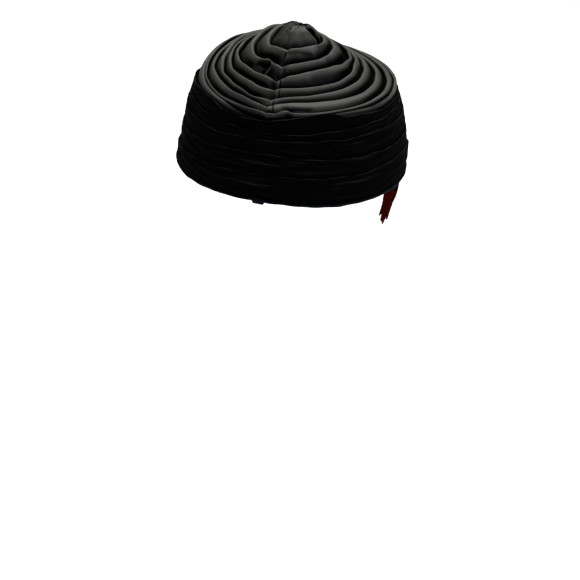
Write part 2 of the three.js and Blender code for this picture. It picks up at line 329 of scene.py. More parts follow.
def vertex_places(piece: Piece) -> Array:
    """Reads the places of a piece's vertices.

    Args:
        piece: The piece.

    Returns:
        A row for each vertex.
    """
    flat = np.empty(len(piece.data.vertices) * 3)
    piece.data.vertices.foreach_get("co", flat)
    return flat.reshape(-1, 3)


def move_vertices(piece: Piece, places: Array) -> None:
    """Puts a piece's vertices at places in mm."""
    piece.data.vertices.foreach_set("co", (places * MM).ravel())


def set_uvs(piece: Piece, spots: Array) -> None:
    """Gives a piece real-size UVs, in metres.

    Args:
        piece: The piece.
        spots: Each vertex's spot on the flat cloth, in mm.
    """
    loops = np.empty(len(piece.data.loops), dtype=np.int32)
    piece.data.loops.foreach_get("vertex_index", loops)
    piece.data.uv_layers[0].data.foreach_set("uv", (spots[loops] * MM).ravel())


def add_grid(name: str, rows: int, columns: int) -> tuple[Piece, Array, Array]:
    """Adds a flat square grid of vertices.

    Args:
        name: The object's name.
        rows: Vertices along Y.
        columns: Vertices along X.

    Returns:
        The new object, and the row and the column of each of its vertices.
    """
    bpy.ops.object.select_all(action="DESELECT")
    bpy.ops.mesh.primitive_grid_add(x_subdivisions=columns - 1, y_subdivisions=rows - 1, size=2)
    piece = bpy.context.active_object
    piece.name = piece.data.name = name
    share = (vertex_places(piece) + 1) / 2
    row = np.rint(share[:, 1] * (rows - 1)).astype(int)
    column = np.rint(share[:, 0] * (columns - 1)).astype(int)
    return piece, row, column


def sew_up(piece: Piece) -> None:
    """Merges doubles, turns the faces outwards and shades the piece smooth.

    Args:
        piece: The piece.
    """
    bpy.ops.object.select_all(action="DESELECT")
    piece.select_set(True)
    bpy.context.view_layer.objects.active = piece
    bpy.ops.object.mode_set(mode="EDIT")
    bpy.ops.mesh.select_all(action="SELECT")
    bpy.ops.mesh.remove_doubles(threshold=1e-6)
    bpy.ops.mesh.normals_make_consistent(inside=False)
    bpy.ops.object.mode_set(mode="OBJECT")
    bpy.ops.object.shade_smooth()


def dress(piece: Piece, material: Material) -> None:
    """Puts the material on a piece and seats it on the hat.

    Args:
        piece: The piece.
        material: Its finish.
    """
    piece.data.materials.clear()
    piece.data.materials.append(material)
    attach(piece, BODY)


@dataclass
class Wrap:
    """Rows of points up a section, each row going round the hat, that become one sheet of cloth."""

    angle: Array
    radius: list[Array] = field(default_factory=list)
    height: list[Array] = field(default_factory=list)
    # ridge marks painted highlight, hollow marks painted shade; tone marks a cool painted shade on the satin
    # and the painted sheen of crushed velvet.
    marks: dict[str, list[Array]] = field(default_factory=lambda: {"ridge": [], "hollow": [], "tone": []})

    def add(self, radius: Value, height: Value, ridge: Value = 0.0, hollow: Value = 0.0) -> None:
        """Adds a row.

        Args:
            radius: Distance from the hat's middle line, before the oval's stretch.
            height: Height of the row.
            ridge: How much painted highlight it has, as on a folded edge, from 0 to 1.
            hollow: How much painted shade it has, as in a groove, from 0 to 1.
        """
        flat = np.zeros_like(self.angle)
        self.radius.append(flat + radius)
        self.height.append(flat + height)
        for mark, value in (("ridge", ridge), ("hollow", hollow), ("tone", 0.0)):
            self.marks[mark].append(flat + value)

    def points(self) -> Array:
        """Works out the rows' points.

        Returns:
            The points in mm, as rows by angles by three.
        """
        turn = np.radians(self.angle)
        radius, height = np.array(self.radius), np.array(self.height)
        across, along = radius * np.sin(turn), -LENGTH_TO_WIDTH * radius * np.cos(turn)
        return np.stack([across, along, height], axis=-1)

    def cloth(self, name: str, points: Array) -> Piece:
        """Lays a flat grid on the points, sews it up and gives it real-size UVs and its marks.

        Args:
            name: The piece's name.
            points: Points in mm, as rows by angles by three.

        Returns:
            The finished piece.
        """
        piece, row, column = add_grid(name, *points.shape[:2])
        move_vertices(piece, points[row, column])
        for mark, values in self.marks.items():
            attribute = piece.data.attributes.new(mark, "FLOAT", "POINT")
            attribute.data.foreach_set("value", np.array(values)[row, column].astype(np.float32))
        up, across = (lengths_along(p).mean(1) for p in (points, points.swapaxes(0, 1)))
        set_uvs(piece, np.stack([across[column], up[row]], axis=-1))
        sew_up(piece)
        return piece


@dataclass
class Sketch:
    """A material's node tree while it is being drawn."""

    name: str
    material: Material = field(init=False)
    shader: bpy.types.Node = field(init=False)

    def __post_init__(self) -> None:
        """Makes the material with one Principled shader."""
        self.material = bpy.data.materials.new(self.name)
        self.material.use_nodes = True
        self.shader = self.material.node_tree.nodes["Principled BSDF"]

    def feed(self, made: bpy.types.Node, inputs: dict[str | int, object]) -> None:
        """Fills a node's inputs.

        Args:
            made: The node.
            inputs: For each input's name or number, the socket or plain value that goes in.
        """
        for key, value in inputs.items():
            if isinstance(value, Socket):
                self.material.node_tree.links.new(value, made.inputs[key])
            else:
                made.inputs[key].default_value = value

    def node(self, kind: str, inputs: dict[str | int, object], **settings: object) -> bpy.types.Node:
        """Adds a node.

        Args:
            kind: The node's type.
            inputs: What goes into it.
            settings: Its own properties.

        Returns:
            The node.
        """
        made = self.material.node_tree.nodes.new(kind)
        for key, value in settings.items():
            setattr(made, key, value)
        self.feed(made, inputs)
        return made

    def set(self, **values: object) -> None:
        """Fills the shader's own inputs, with underscores for spaces in their names."""
        self.feed(self.shader, {key.replace("_", " "): value for key, value in values.items()})

    def laid(self, pitch: Pair, turn: float = 0.0) -> Socket:
        """The piece's UVs, turned and scaled.

        Args:
            pitch: Pattern units in a metre, round the hat and up the cloth.
            turn: Degrees that the pattern is turned on the cloth.

        Returns:
            The vector to feed a texture with.
        """
        place = self.node("ShaderNodeUVMap", {}).outputs["UV"]
        turned = self.node("ShaderNodeMapping", {"Vector": place, "Rotation": (0, 0, np.radians(turn))})
        sized = self.node("ShaderNodeMapping", {"Vector": turned.outputs["Vector"], "Scale": (*pitch, 1)})
        return sized.outputs["Vector"]

    def in_space(self) -> Socket:
        """The piece's Object coordinates, in metres."""
        return self.node("ShaderNodeTexCoord", {}).outputs["Object"]

    def mark(self, name: str) -> Socket:
        """One of the sheet's own marks."""
        return self.node("ShaderNodeAttribute", {}, attribute_name=name).outputs["Fac"]

    def noise(self, vector: Socket, scale: float = 1.0, detail: float = 3.0) -> Socket:
        """Adds a noise texture and returns its factor."""
        inputs = {"Vector": vector, "Scale": scale, "Detail": detail}
        return self.node("ShaderNodeTexNoise", inputs).outputs["Fac"]

    def wave(self, vector: Socket, bands: str, scale: float = 1.0, bent: float = 0.0) -> Socket:
        """Adds a wave texture with its bands across an axis and returns its factor."""
        inputs = {"Vector": vector, "Scale": scale, "Distortion": bent}
        return self.node("ShaderNodeTexWave", inputs, bands_direction=bands).outputs["Fac"]

    def blend(self, factor: Socket, first: Socket | Colour, second: Socket | Colour) -> Socket:
        """Mixes two colours, each a socket or a plain colour, by a factor."""
        first, second = ((*c, 1) if isinstance(c, tuple) else c for c in (first, second))
        return self.node("ShaderNodeMix", {0: factor, 6: first, 7: second}, data_type="RGBA").outputs[2]

    def spread(self, source: Socket, low: float, high: float, start: float = 0.0, end: float = 1.0) -> Socket:
        """Maps a factor's range from start to end onto low to high, and cuts off what is past it."""
        inputs = {"Value": source, "From Min": start, "From Max": end, "To Min": low, "To Max": high}
        return self.node("ShaderNodeMapRange", inputs).outputs["Result"]

    def math(self, operation: str, first: Socket, second: Socket) -> Socket:
        """Joins two factors by a named operation."""
        return self.node("ShaderNodeMath", {0: first, 1: second}, operation=operation).outputs[0]

    def bump(self, *layers: tuple[Socket, float, float]) -> None:
        """Presses height patterns into the surface.

        Args:
            layers: Height, its distance in metres and its strength, for each pattern.
        """
        below: dict[str, Socket] = {}
        for height, distance, strength in layers:
            inputs = {"Height": height, "Distance": distance, "Strength": strength, **below}
            below = {"Normal": self.node("ShaderNodeBump", inputs).outputs["Normal"]}
        self.set(**below)


@dataclass(frozen=True)
class SatinFinish:
    """Black satin cut on the bias: a fine slanting weave, with painted highlights on its folds, painted shade
    in its grooves and a cool painted shade in its dents.
    """

    face: Colour = (0.0062, 0.0067, 0.0064)
    # crest is a painted highlight on the folded edges.
    crest: Colour = (0.0324, 0.0336, 0.0288)
    # cool is painted shade where the tints lie, and also a random cool patchiness.
    cool: Colour = (0.0019, 0.0023, 0.0064)
    # groove is painted shade, in the grooves and dark creases and on the shaded faces.
    groove: Colour = (0.0003, 0.0003, 0.0003)
    roughness: Pair = (0.5, 0.6)
    gloss: Pair = (0.13, 0.28)
    bias: float = 45.0
    hatch_turn: float = 32.0
    hatch_depth: float = 0.85
    thread_pitch: Pair = (2600, 260)
    rib_pitch: Pair = (190, 190)
    hatch_pitch: Pair = (170, 170)
    crease_pitch: Pair = (120, 260)

    def material(self) -> Material:
        """Draws the satin.

        Returns:
            The material.
        """
        s = Sketch("black_satin")
        ridge, tone, shade = s.mark("ridge"), s.mark("tone"), self.hatched(s)
        # Painted highlight on the folded edges, then a cool painted shade where the tints lie.
        tinted = s.blend(tone, s.blend(s.spread(ridge, 0, 1), self.face, self.crest), self.cool)
        broad = s.spread(s.noise(s.in_space(), 28, detail=2), 0, 0.3, 0.45, 0.8)
        dull = s.math("MAXIMUM", shade, s.spread(tone, 0, 0.7))
        gloss = s.math("MULTIPLY", s.spread(ridge, *self.gloss), s.spread(dull, 1, 0))
        threads = s.noise(s.laid(self.thread_pitch, self.bias), detail=2)
        rib = s.wave(s.laid(self.rib_pitch, self.bias), "X", bent=0.4)
        creases = s.noise(s.laid(self.crease_pitch, 12))
        tangent = s.node("ShaderNodeTangent", {}, direction_type="UV_MAP").outputs["Tangent"]
        # The base colour goes dark towards groove wherever the painted shade lies.
        s.set(Base_Color=s.blend(shade, s.blend(broad, tinted, self.cool), self.groove))
        s.set(Specular_IOR_Level=gloss, Roughness=s.spread(threads, *self.roughness))
        s.set(Tangent=tangent, Anisotropic=0.2)
        s.set(Sheen_Weight=0.01, Sheen_Roughness=0.4, Sheen_Tint=(0.8, 0.78, 0.68, 1))
        s.bump((threads, 0.00006, 0.4), (rib, 0.00012, 0.5), (creases, 0.0002, 0.1))
        return s.material

    def hatched(self, s: Sketch) -> Socket:
        """The painted shade, broken by the weave's slanting ribs where the cloth shows them.

        Args:
            s: The satin's sketch.

        Returns:
            The shade, from 0 to 1.
        """
        hollow = s.mark("hollow")
        ribs = s.wave(s.laid(self.hatch_pitch, self.hatch_turn), "X", bent=1.5)
        middle = s.math("MULTIPLY", hollow, s.spread(hollow, 1, 0))
        shown = s.math("MULTIPLY", s.spread(ribs, -self.hatch_depth, self.hatch_depth), s.mark("rib"))
        return s.spread(s.math("ADD", hollow, s.math("MULTIPLY", middle, shown)), 0, 1)


@dataclass(frozen=True)
class VelvetFinish:
    """Black silk velvet: it swallows light, with a painted sheen where the pile is crushed, a painted
    highlight on the tucks' edges and painted shade in the grooves.
    """

    pile: Colour = (0.0007, 0.001, 0.0009)
    # crushed is the crushed pile's lighter look, its sheen painted into the colour.
    crushed: Colour = (0.017, 0.018, 0.0165)
    # edge is a painted highlight on the tucks' free edges.
    edge: Colour = (0.014, 0.015, 0.014)
    # groove is painted shade in the grooves between the tucks.
    groove: Colour = (0.0004, 0.0004, 0.0004)
    streak_pitch: Pair = (20, 420)
    edge_highlight_pitch: Pair = (60, 200)

    def material(self) -> Material:
        """Draws the velvet.

        Returns:
            The material.
        """
        s = Sketch("black_velvet")
        streaks = s.noise(s.laid(self.streak_pitch), detail=4)
        pile = s.noise(s.in_space(), 2400, detail=2)
        # Painted sheen where the pile is crushed, in streaks.
        crush_sheen = s.math("MULTIPLY", s.spread(streaks, 0, 1, 0.55, 0.68), s.spread(s.mark("tone"), 0.08, 1))
        highlight_strength = s.spread(s.noise(s.laid(self.edge_highlight_pitch)), 0.1, 1, 0.4, 0.6)
        # Painted highlight on the tucks' edges, broken into streaks.
        broken = s.math("MULTIPLY", s.mark("ridge"), highlight_strength)
        edged = s.blend(broken, s.blend(crush_sheen, self.pile, self.crushed), self.edge)
        # The base colour goes dark towards groove where the painted shade lies.
        s.set(Base_Color=s.blend(s.mark("hollow"), edged, self.groove), Roughness=1.0)
        s.set(Specular_IOR_Level=0.01, Sheen_Weight=0.004, Sheen_Roughness=0.4)
        s.set(Sheen_Tint=(0.75, 0.8, 0.78, 1))
        s.bump((pile, 0.0002, 0.5), (streaks, 0.0008, 0.4))
        return s.material


@dataclass(frozen=True)
class EdgeFinish:
    """Narrow dark blue-black satin, folded on the bias over the rim."""

    shade: Colour = (0.0012, 0.002, 0.0042)
    light: Colour = (0.0045, 0.0062, 0.011)

    def material(self) -> Material:
        """Draws the binding's satin.

        Returns:
            The material.
        """
        s = Sketch("edge_satin")
        drag = s.noise(s.laid((90, 500), 30))
        rib = s.noise(s.laid((3000, 600), 45), detail=1)
        s.set(Base_Color=s.blend(drag, self.shade, self.light), Roughness=0.7, Specular_IOR_Level=0.03)
        s.bump((rib, 0.00005, 0.5), (drag, 0.0004, 0.5))
        return s.material


@dataclass(frozen=True)
class ThreadFinish:
    """Dark red silk thread that runs into black near the top of the tassel."""

    red: Colour = (0.082, 0.0034, 0.0024)
    wine: Colour = (0.032, 0.0017, 0.0014)
    black: Colour = (0.0022, 0.0022, 0.0022)
    turn: Pair = (-0.030, -0.036)

    def material(self) -> Material:
        """Draws the thread.

        Returns:
            The material.
        """
        s = Sketch("red_thread")
        place = s.node("ShaderNodeSeparateXYZ", {"Vector": s.in_space()})
        streak = s.spread(s.noise(s.in_space(), 700, detail=2), 0, 1, 0.35, 0.65)
        dyed = s.spread(place.outputs["Z"], 0, 1, *self.turn)
        twist = s.wave(s.in_space(), "DIAGONAL", scale=900)
        s.set(Base_Color=s.blend(dyed, self.black, s.blend(streak, self.wine, self.red)))
        s.set(Roughness=0.8, Specular_IOR_Level=0.02)
        s.bump((twist, 0.00008, 0.6))
        return s.material


@dataclass(frozen=True)
class TapeFinish:
    """Plain black ribbed tape."""

    shade: Colour = (0.0014, 0.0014, 0.0016)
    light: Colour = (0.0036, 0.0037, 0.004)

    def material(self) -> Material:
        """Draws the tape.

        Returns:
            The material.
        """
        s = Sketch("black_tape")
        rib = s.wave(s.laid((330, 330)), "Y")
        s.set(Base_Color=s.blend(rib, self.shade, self.light), Roughness=0.75, Specular_IOR_Level=0.1)
        s.bump((rib, 0.0001, 0.7))
        return s.material


@dataclass(frozen=True)
class FloorFinish:
    """Pale matt studio paper."""

    paper: Colour = (0.92, 0.92, 0.92)
    dull: float = 0.98
    glow: float = 0.34

    def material(self) -> Material:
        """Draws the paper.

        Returns:
            The material.
        """
        s = Sketch("studio_paper")
        grain = s.noise(s.in_space(), 40, detail=2)
        s.set(Base_Color=s.blend(grain, tuple(self.dull * c for c in self.paper), self.paper))
        s.set(Roughness=0.9, Specular_IOR_Level=0.1)
        s.set(Emission_Color=(1, 1, 1, 1), Emission_Strength=self.glow)
        return s.material


BROW = Round(78.2, 76.7, 76.2, 77.7, 79.1, 79.6, 81.1, 80.6)
SWELL = Round(0.4, 1, 0.5, 0, 0, 0, 0, 0)
CROWN_SLOPE = (
    SlopeStop(0, 0, 113.4, 0),
    SlopeStop(0.12, 0.12, 109.5, 3),
    SlopeStop(0.29, 0.29, 101.1, 5.2),
    SlopeStop(0.42, 0.42, 94.6, 5.6),
    SlopeStop(0.57, 0.57, 86.9, 7.6),
    SlopeStop(0.65, 0.65, 82, 10.4),
    SlopeStop(0.735, 0.735, 77.8, 12.4),
    SlopeStop(0.83, 0.83, 74, 12.5),
    SlopeStop(0.92, 0.92, 72, 10.5),
    SlopeStop(0.985, 0.985, 70.4, 7),
    SlopeStop(1.01, 1, 68, 4),
    SlopeStop(1.04, 0.993, 64.7, 1.5),
    SlopeStop(1.07, 0.985, 61.8, 0),
    SlopeStop(1.15, 0.985, 54, 0),
)
SATIN_FOLDS = (
    SatinFold(
        Round(0.97, 0.965, 0.965, 0.982, 1.05, 1.008, 1.008, 0.985), 0.03, 2.3,
        (
            Bend(26, 17, 0, -2.4), Bend(68, 22, 0.02), Bend(-114, 22, 0, 2.8),
        ),
    ),
    SatinFold(
        Round(0.91, 0.92, 0.922, 0.93, 0.975, 0.973, 0.944, 0.9), 0.043, 3.2,
        (
            Bend(-4, 8, -0.012), Bend(4.6, 3, 0.014), Bend(10.8, 2.7, -0.026, 0.6),
            Bend(100, 26, -0.022), Bend(-116, 20, 0, 2.4),
        ),
    ),
    SatinFold(
        Round(0.82, 0.84, 0.85, 0.825, 0.845, 0.84, 0.845, 0.8), 0.075, 4,
        (
            Bend(0, 7, 0.008), Bend(20, 12, -0.01), Bend(-78, 22, 0.014), Bend(100, 28, -0.034),
            Bend(-112, 20, 0, 0.3),
        ),
    ),
    SatinFold(
        Round(0.7, 0.745, 0.745, 0.755, 0.775, 0.742, 0.727, 0.69), 0.05, 3.8,
        (
            Bend(-14, 12, 0.018), Bend(-72, 24, 0.02), Bend(-106, 20, 0, 1.8), Bend(98, 28, -0.034),
        ),
    ),
    SatinFold(
        Round(0.61, 0.68, 0.69, 0.668, 0.69, 0.669, 0.627, 0.585), 0.03, 3.8,
        (
            Bend(-15, 10, 0.01), Bend(28, 20, -0.01), Bend(-58, 18, 0.016), Bend(98, 28, -0.028),
        ),
    ),
    SatinFold(
        Round(0.54, 0.61, 0.627, 0.589, 0.575, 0.506, 0.527, 0.51), 0.05, 4.2,
        (
            Bend(-3, 7, 0.01), Bend(48, 32, 0.014),
        ),
    ),
    SatinFold(
        Round(0.38, 0.465, 0.475, 0.4715, 0.46, 0.423, 0.383, 0.34), 0.03, 4.2,
        (
            Bend(-23, 8, -0.03), Bend(0, 5, 0.012), Bend(30, 14, -0.008), Bend(-132, 26, 0, 2.6),
        ),
    ),
    SatinFold(
        Round(0.235, 0.275, 0.305, 0.329, 0.303, 0.28, 0.28, 0.232), 0.018, 3.8,
        (
            Bend(-30, 9, -0.014), Bend(-2, 5, 0.006), Bend(168, 20, 0, 1.7),
        ),
        2.5,
    ),
)
# Each crease's lit value paints a highlight above 0 and shade below 0.
SATIN_CREASES = (
    Crease((-9.3, -38.6), (-7.7, -42.0), 0.85, 1.3, 1.4),
    Crease((-7.7, -42.0), (-12.4, -45.1), 0.85, 2.0, 1.4),
    Crease((-21.0, -35.4), (-12.4, -38.0), 1.5, -1.6, -1.6),
    Crease((-12.4, -38.2), (-11.6, -41.4), 1.5, -2.2, -1.8),
    Crease((-17.0, -37.4), (-12.6, -39.6), 1.9, -2.2, -1.8),
    Crease((-25.0, -36.0), (-18.0, -41.5), 2.4, 0.5, 0.3),
    Crease((1.8, -44.5), (2.8, -49.5), 2.0, -0.9, -0.85),
    Crease((-3.4, -53.6), (-2.2, -58.2), 2.1, -0.3, -0.75),
    Crease((0.1, -53.4), (0.8, -58.0), 1.0, 0.4, 0.9),
    Crease((2.1, -53.6), (2.7, -58.4), 0.6, -0.5, -1.3),
    Crease((-0.8, -61.8), (0.2, -66.0), 1.8, -0.2, -0.45),
    Crease((2.2, -61.6), (2.6, -65.8), 0.8, 0.3, 0.9),
    Crease((3.5, -61.6), (3.9, -65.8), 0.6, -0.5, -1.2),
    Crease((1.8, -72.5), (4.6, -83.0), 0.6, -0.6, -1.1),
    Crease((15.6, -85.4), (19.4, -84.4), 1.4, -1.8, -1.3),
    Crease((26.0, -42.5), (37.6, -29.7), 3.0, -0.6, -0.5),
    Crease((31.0, -19.5), (36.6, -9.0), 2.2, -0.6, -0.6),
    Crease((12.5, -79.4), (30.8, -72.6), 1.9, -1.1, -1.0),
    Crease((-1.0, -29.8), (18.0, -23.0), 2.0, -0.2, -0.85),
    Crease((-36.0, -64.0), (-6.0, -86.0), 4.5, -0.3, -0.4),
    Crease((21.9, -12.4), (26.2, -3.4), 2.6, -0.8, -0.6),
    Crease((-4.3, -13.1), (-2.1, -22.9), 1.8, -0.4, -0.15),
    Crease((9.8, -6.8), (17.0, -7.8), 1.1, 0.9, 1.0),
    Crease((-1.0, 0.2), (6.8, 1.4), 1.5, -0.8, -1.8),
    Crease((-2.0, 4.2), (7.4, 5.4), 2.4, 0.9, 0.9),
    Crease((-2.0, -4.4), (9.6, -5.4), 5.6, 0.3, 1.1),
    Crease((10.4, -2.2), (13.2, -2.8), 2.3, -4.6, -1.9),
    Crease((13.0, -2.4), (18.0, -4.2), 1.6, -3.0, -1.4),
    Crease((10.3, -0.5), (12.2, 0.2), 2.3, 0, -1.8),
    Crease((12.6, -0.5), (18.4, -2.6), 1.5, 0, -1.4),
    Crease((-13.4, 0.6), (-15.0, -5.4), 1.5, 0, -1.5),
    Crease((-15.0, -5.4), (-17.2, -12.0), 1.7, 0, -1.7),
    Crease((0.8, 2.6), (5.4, 3.3), 1.3, 0, -1.5),
    Crease((0.0, -26.3), (18.0, -19.6), 1.9, 0.1, 0.9),
    Crease((-5.6, -4.8), (-4.6, -6.6), 1.0, -1.3, -1.6),
    Crease((-7.4, -7.0), (-6.6, -9.4), 1.0, -0.8, -0.8),
    Crease((-9.0, 2.0), (-17.0, 6.0), 1.4, -0.8),
    Crease((2.0, 12.0), (3.0, 19.0), 1.5, -0.8),
    Crease((72.0, -38.0), (76.5, -30.0), 2.0, -0.6, -0.3),
)
# Cool painted shade in the satin's dents, smudges and seam facets.
SATIN_TINTS = (
    Tint((-6.6, -41.0), (-1.5, -47.0), 3.4, 0.95),
    Tint((-3.4, -53.6), (-1.8, -58.2), 3.0, 1.0),
    Tint((-1.2, -61.8), (0.2, -66.0), 2.8, 0.95),
    Tint((-1.0, -29.0), (18.0, -22.4), 2.2, 1.0),
    Tint((-9.0, -31.0), (-3.0, -33.5), 3.2, 0.6),
    Tint((-38.0, -62.0), (-12.0, -80.0), 6.0, 0.85),
    Tint((-22.0, -79.0), (-4.0, -88.0), 3.5, 0.9),
    Tint((26.0, -42.5), (37.6, -29.7), 4.4, 0.75),
    Tint((12.9, -79.0), (31.8, -72.2), 2.6, 1.0),
    Tint((-36.0, -64.0), (-6.0, -86.0), 5.0, 0.9),
    Tint((74.0, -36.0), (78.1, -26.0), 3.0, 0.6),
    Tint((21.9, -12.4), (26.2, -3.4), 3.0, 0.85),
    Tint((8.0, -35.5), (27.0, -26.0), 2.4, 0.7),
)


@dataclass
class SatinCrown:
    """The crown: eight ringed pleats and a gathered tip, joined in one mitred seam at the back."""

    lap_bottom: float = 54.0
    wall: float = 2.0
    deepest_groove: float = 4.2
    tip_drop: float = 1.4
    skirt: float = 0.985
    chamfer: float = 0.3
    soften: float = 0.016
    nudge: float = 0.025
    outer_share: float = 1.1
    tucked_from: float = 0.99
    tucked_over: float = 0.05
    # Strength of the painted highlight on the folds: lower at the right and cut close to the seam at the
    # left.
    highlight_right: float = 0.86
    highlight_cut_near_left: float = 0.45
    roll_share: Pair = (0.2, 0.28)
    least_roll: float = 0.6
    sag_power: Pair = (1.5, 0.95)
    droop: float = 0.12
    puff: float = 0.35
    inner_pleats: int = 6
    shade_reach: Pair = (0.12, 0.28)
    groove_width: float = 2.4
    gather_reach: float = 7.5
    dimple_depth: float = 1.6
    dimple_radius: float = 9.0
    dome_height: float = 1.3
    dome_width: float = 4.5
    seam_reach: Pair = (16.0, 5.0)
    lining_shares: Stops = (0.05, 0.1, 0.16, 0.23, 0.3, 0.38, 0.46, 0.54, 0.62, 0.7, 0.76, 0.82, 0.88)
    face_stops: Stops = (0.0, 0.05, 0.12, 0.21, 0.32, 0.44, 0.57, 0.7, 0.83, 0.93)
    roll_turns: Stops = (-18, 5, 28, 50, 72, 95, 118, 140)
    last_lit_turn: float = 100
    groove_stops: Stops = (0.45, 0.8, 1.0)
    cap_stops: Stops = (0.0, 0.02, *np.linspace(0.05, 1, 20))
    gathers: tuple[Gather, ...] = (Gather(0.5, 9, 1.3), Gather(0.35, 14, 0.4))
    edge_ripple: Ripple = Ripple(0.14, 10, 4, 18)
    groove_ripple: Ripple = Ripple(0.08, 30, 3, 11)
    lift_ripple: Ripple = Ripple(0.09, 50, 5, 20)
    pull_ripple: Ripple = Ripple(0.05, 70, 14, 40, 16)
    pull_patches: Ripple = Ripple(1.0, 90, 2, 6, 5)
    cap_ripple: Ripple = Ripple(0.22, 7, 3, 9)
    angle: Array = field(default_factory=lambda: angles_round(1.1, 0.3, 27.0, 12.0))

    def slope(self, share: Array) -> Ring:
        """Reads the smooth slope under the pleats.

        Args:
            share: How far down the slope, for each angle.

        Returns:
            Radius and height.
        """
        stops = np.array(CROWN_SLOPE)
        near = [share + s * np.minimum(share / 0.1, 1) for s in (-self.soften, 0.0, self.soften)]
        out, height, swell = (
            np.mean([np.interp(at, stops[:, 0], stops[:, k]) for at in near], axis=0) for k in (1, 2, 3)
        )
        return BROW.at(self.angle) * out, height + SWELL.at(self.angle) * swell

    def normal(self, share: Array) -> Ring:
        """Works out the slope's outward normal.

        Args:
            share: How far down the slope, for each angle.

        Returns:
            The unit normal's part outwards and its part upwards.
        """
        near = self.slope(np.maximum(share - self.nudge, 0))
        far = self.slope(share + self.nudge)
        across, down = far[0] - near[0], far[1] - near[1]
        size = np.hypot(across, down)
        return -down / size, across / size

    def point(self, share: Array, off: Value = 0.0, ahead: Value = 0.0) -> Ring:
        """A point on or near the slope.

        Args:
            share: How far down the slope.
            off: Distance from it along its normal.
            ahead: Distance up the slope along its tangent.

        Returns:
            Radius and height.
        """
        radius, height = self.slope(share)
        out, up = self.normal(share)
        return radius + out * off - up * ahead, height + up * off + out * ahead

    def seam_jut(self) -> Array:
        """Returns how much of a fold's jut acts at each angle."""
        reach = np.where(self.angle < 0, *self.seam_reach)
        return np.exp(-np.abs(self.angle) / reach)

    def seam_step(self) -> Array:
        """Returns the step where the right side's turned edge lies on the left side's, in mm."""
        left, right = -1.7 * fade(3.0, 8.0, -self.angle), 0.45 * np.exp(-((self.angle / 2.5) ** 2))
        return np.where(self.angle < 0, left, right)

    def left_side(self) -> Array:
        """Returns 1 at the wearer's left of the seam and 0 at the right, with soft ends."""
        return smooth_step(0.0, 0.12, -np.sin(np.radians(self.angle)))

    def near_left(self) -> Array:
        """Returns 1 close to the seam at its left and 0 elsewhere, with soft ends."""
        return within((1.0, 12.0, 45.0, 85.0), -self.angle)

    def far_right(self) -> Array:
        """Returns 1 where the pleats at the wearer's right turn from the light, with soft ends."""
        return within((38.0, 75.0, 125.0, 150.0), self.angle)

    def shade(self, k: int, t: float) -> Array:
        """Works out the painted shade on a pleat's face, as it comes out of the groove behind it.

        Args:
            k: The pleat's number, outermost first.
            t: How far across the face, from the groove to the free edge.

        Returns:
            The shade at each angle, from 0 to 1.
        """
        near_left = self.near_left()
        deep = self.shade_reach[k >= self.inner_pleats]
        lit = fade(0.7 * deep, deep + 0.32, t)
        slanting = fade(mix(0.1, 0.42, near_left), mix(0.95, 1.08, near_left), t)
        right_shade = mix(0.55 * lit + 0.45 * slanting, fade(0.42, 0.98, t), self.far_right())
        left_shade = mix(fade(0.02, 0.25, t), slanting, near_left)
        return mix(right_shade, left_shade, self.left_side())

    def pleat(self, wrap: Wrap, k: int, before: Array, depth: Array) -> Ring:
        """Adds one pleat: its face, its rolled free edge and the groove behind it.

        Args:
            wrap: The sheet to add rows to.
            k: The pleat's number, outermost first.
            before: Share where the last groove ends.
            depth: Depth of the last groove.

        Returns:
            Share where this pleat's groove ends, and its depth.
        """
        fold, angle, brow, left = SATIN_FOLDS[k], self.angle, BROW.at(self.angle), self.left_side()
        share = fold.line.at(angle) + fold.jut * self.seam_jut()
        share = share + sum(b.shift * b.at(angle) for b in fold.bends)
        share = share + self.edge_ripple.at(angle, k) / brow
        tucked = np.clip((share - self.tucked_from) / self.tucked_over, 0, 1)
        groove = fold.groove * mix(1, 0.4, tucked) * (1 + self.groove_ripple.at(angle, k))
        # How strongly the fold's edge gets its painted highlight.
        highlight_strength = mix(self.highlight_right, 1 - self.highlight_cut_near_left * self.near_left(), left)
        roll = np.clip(mix(*self.roll_share, left) * (before - share) * brow, self.least_roll, fold.widest)
        lift = self.lift_ripple.at(angle, k) * (1 - tucked) + sum(b.lift * b.at(angle) for b in fold.bends)
        pull = self.pull_ripple.at(angle, k) * np.abs(self.pull_patches.at(angle, k))
        step = self.seam_step() * (1 - tucked)
        start, shoulder = before - 0.5 / brow, share + 0.55 * roll / brow
        for t in self.face_stops:
            bow = np.sin(np.pi * t)
            sag = -depth * (1 - t) ** mix(*self.sag_power, left) - self.droop * roll * t
            puff = (self.puff * bow**2 + pull * bow) * (1 - tucked)
            off = sag + puff + lift * t + step * np.sin(np.pi * min(t, 0.75))
            radius, height = self.point(mix(start, shoulder, t), off)
            # The face's upper part gets painted highlight and its lower part painted shade.
            wrap.add(radius, height, highlight_strength * max(0.0, 2.2 * t - 1.15), self.shade(k, t))
        for turn in self.roll_turns:
            over = np.radians(turn)
            off = roll * (np.cos(over) - 1) + lift + 0.25 * step
            radius, height = self.point(share, off, roll * np.sin(over))
            # The rolled edge gets painted highlight, weaker on its far side.
            wrap.add(radius, height, ridge=highlight_strength * (1.0 if turn < self.last_lit_turn else 0.3))
        for t in self.groove_stops:
            off = np.minimum(-groove * t, -1.9 * roll) + lift
            radius, height = self.point(share, off, 0.62 * roll + 0.1 * t)
            # The groove gets full painted shade.
            wrap.add(radius, height, hollow=1.0)
        return share - 0.75 * roll / brow, groove

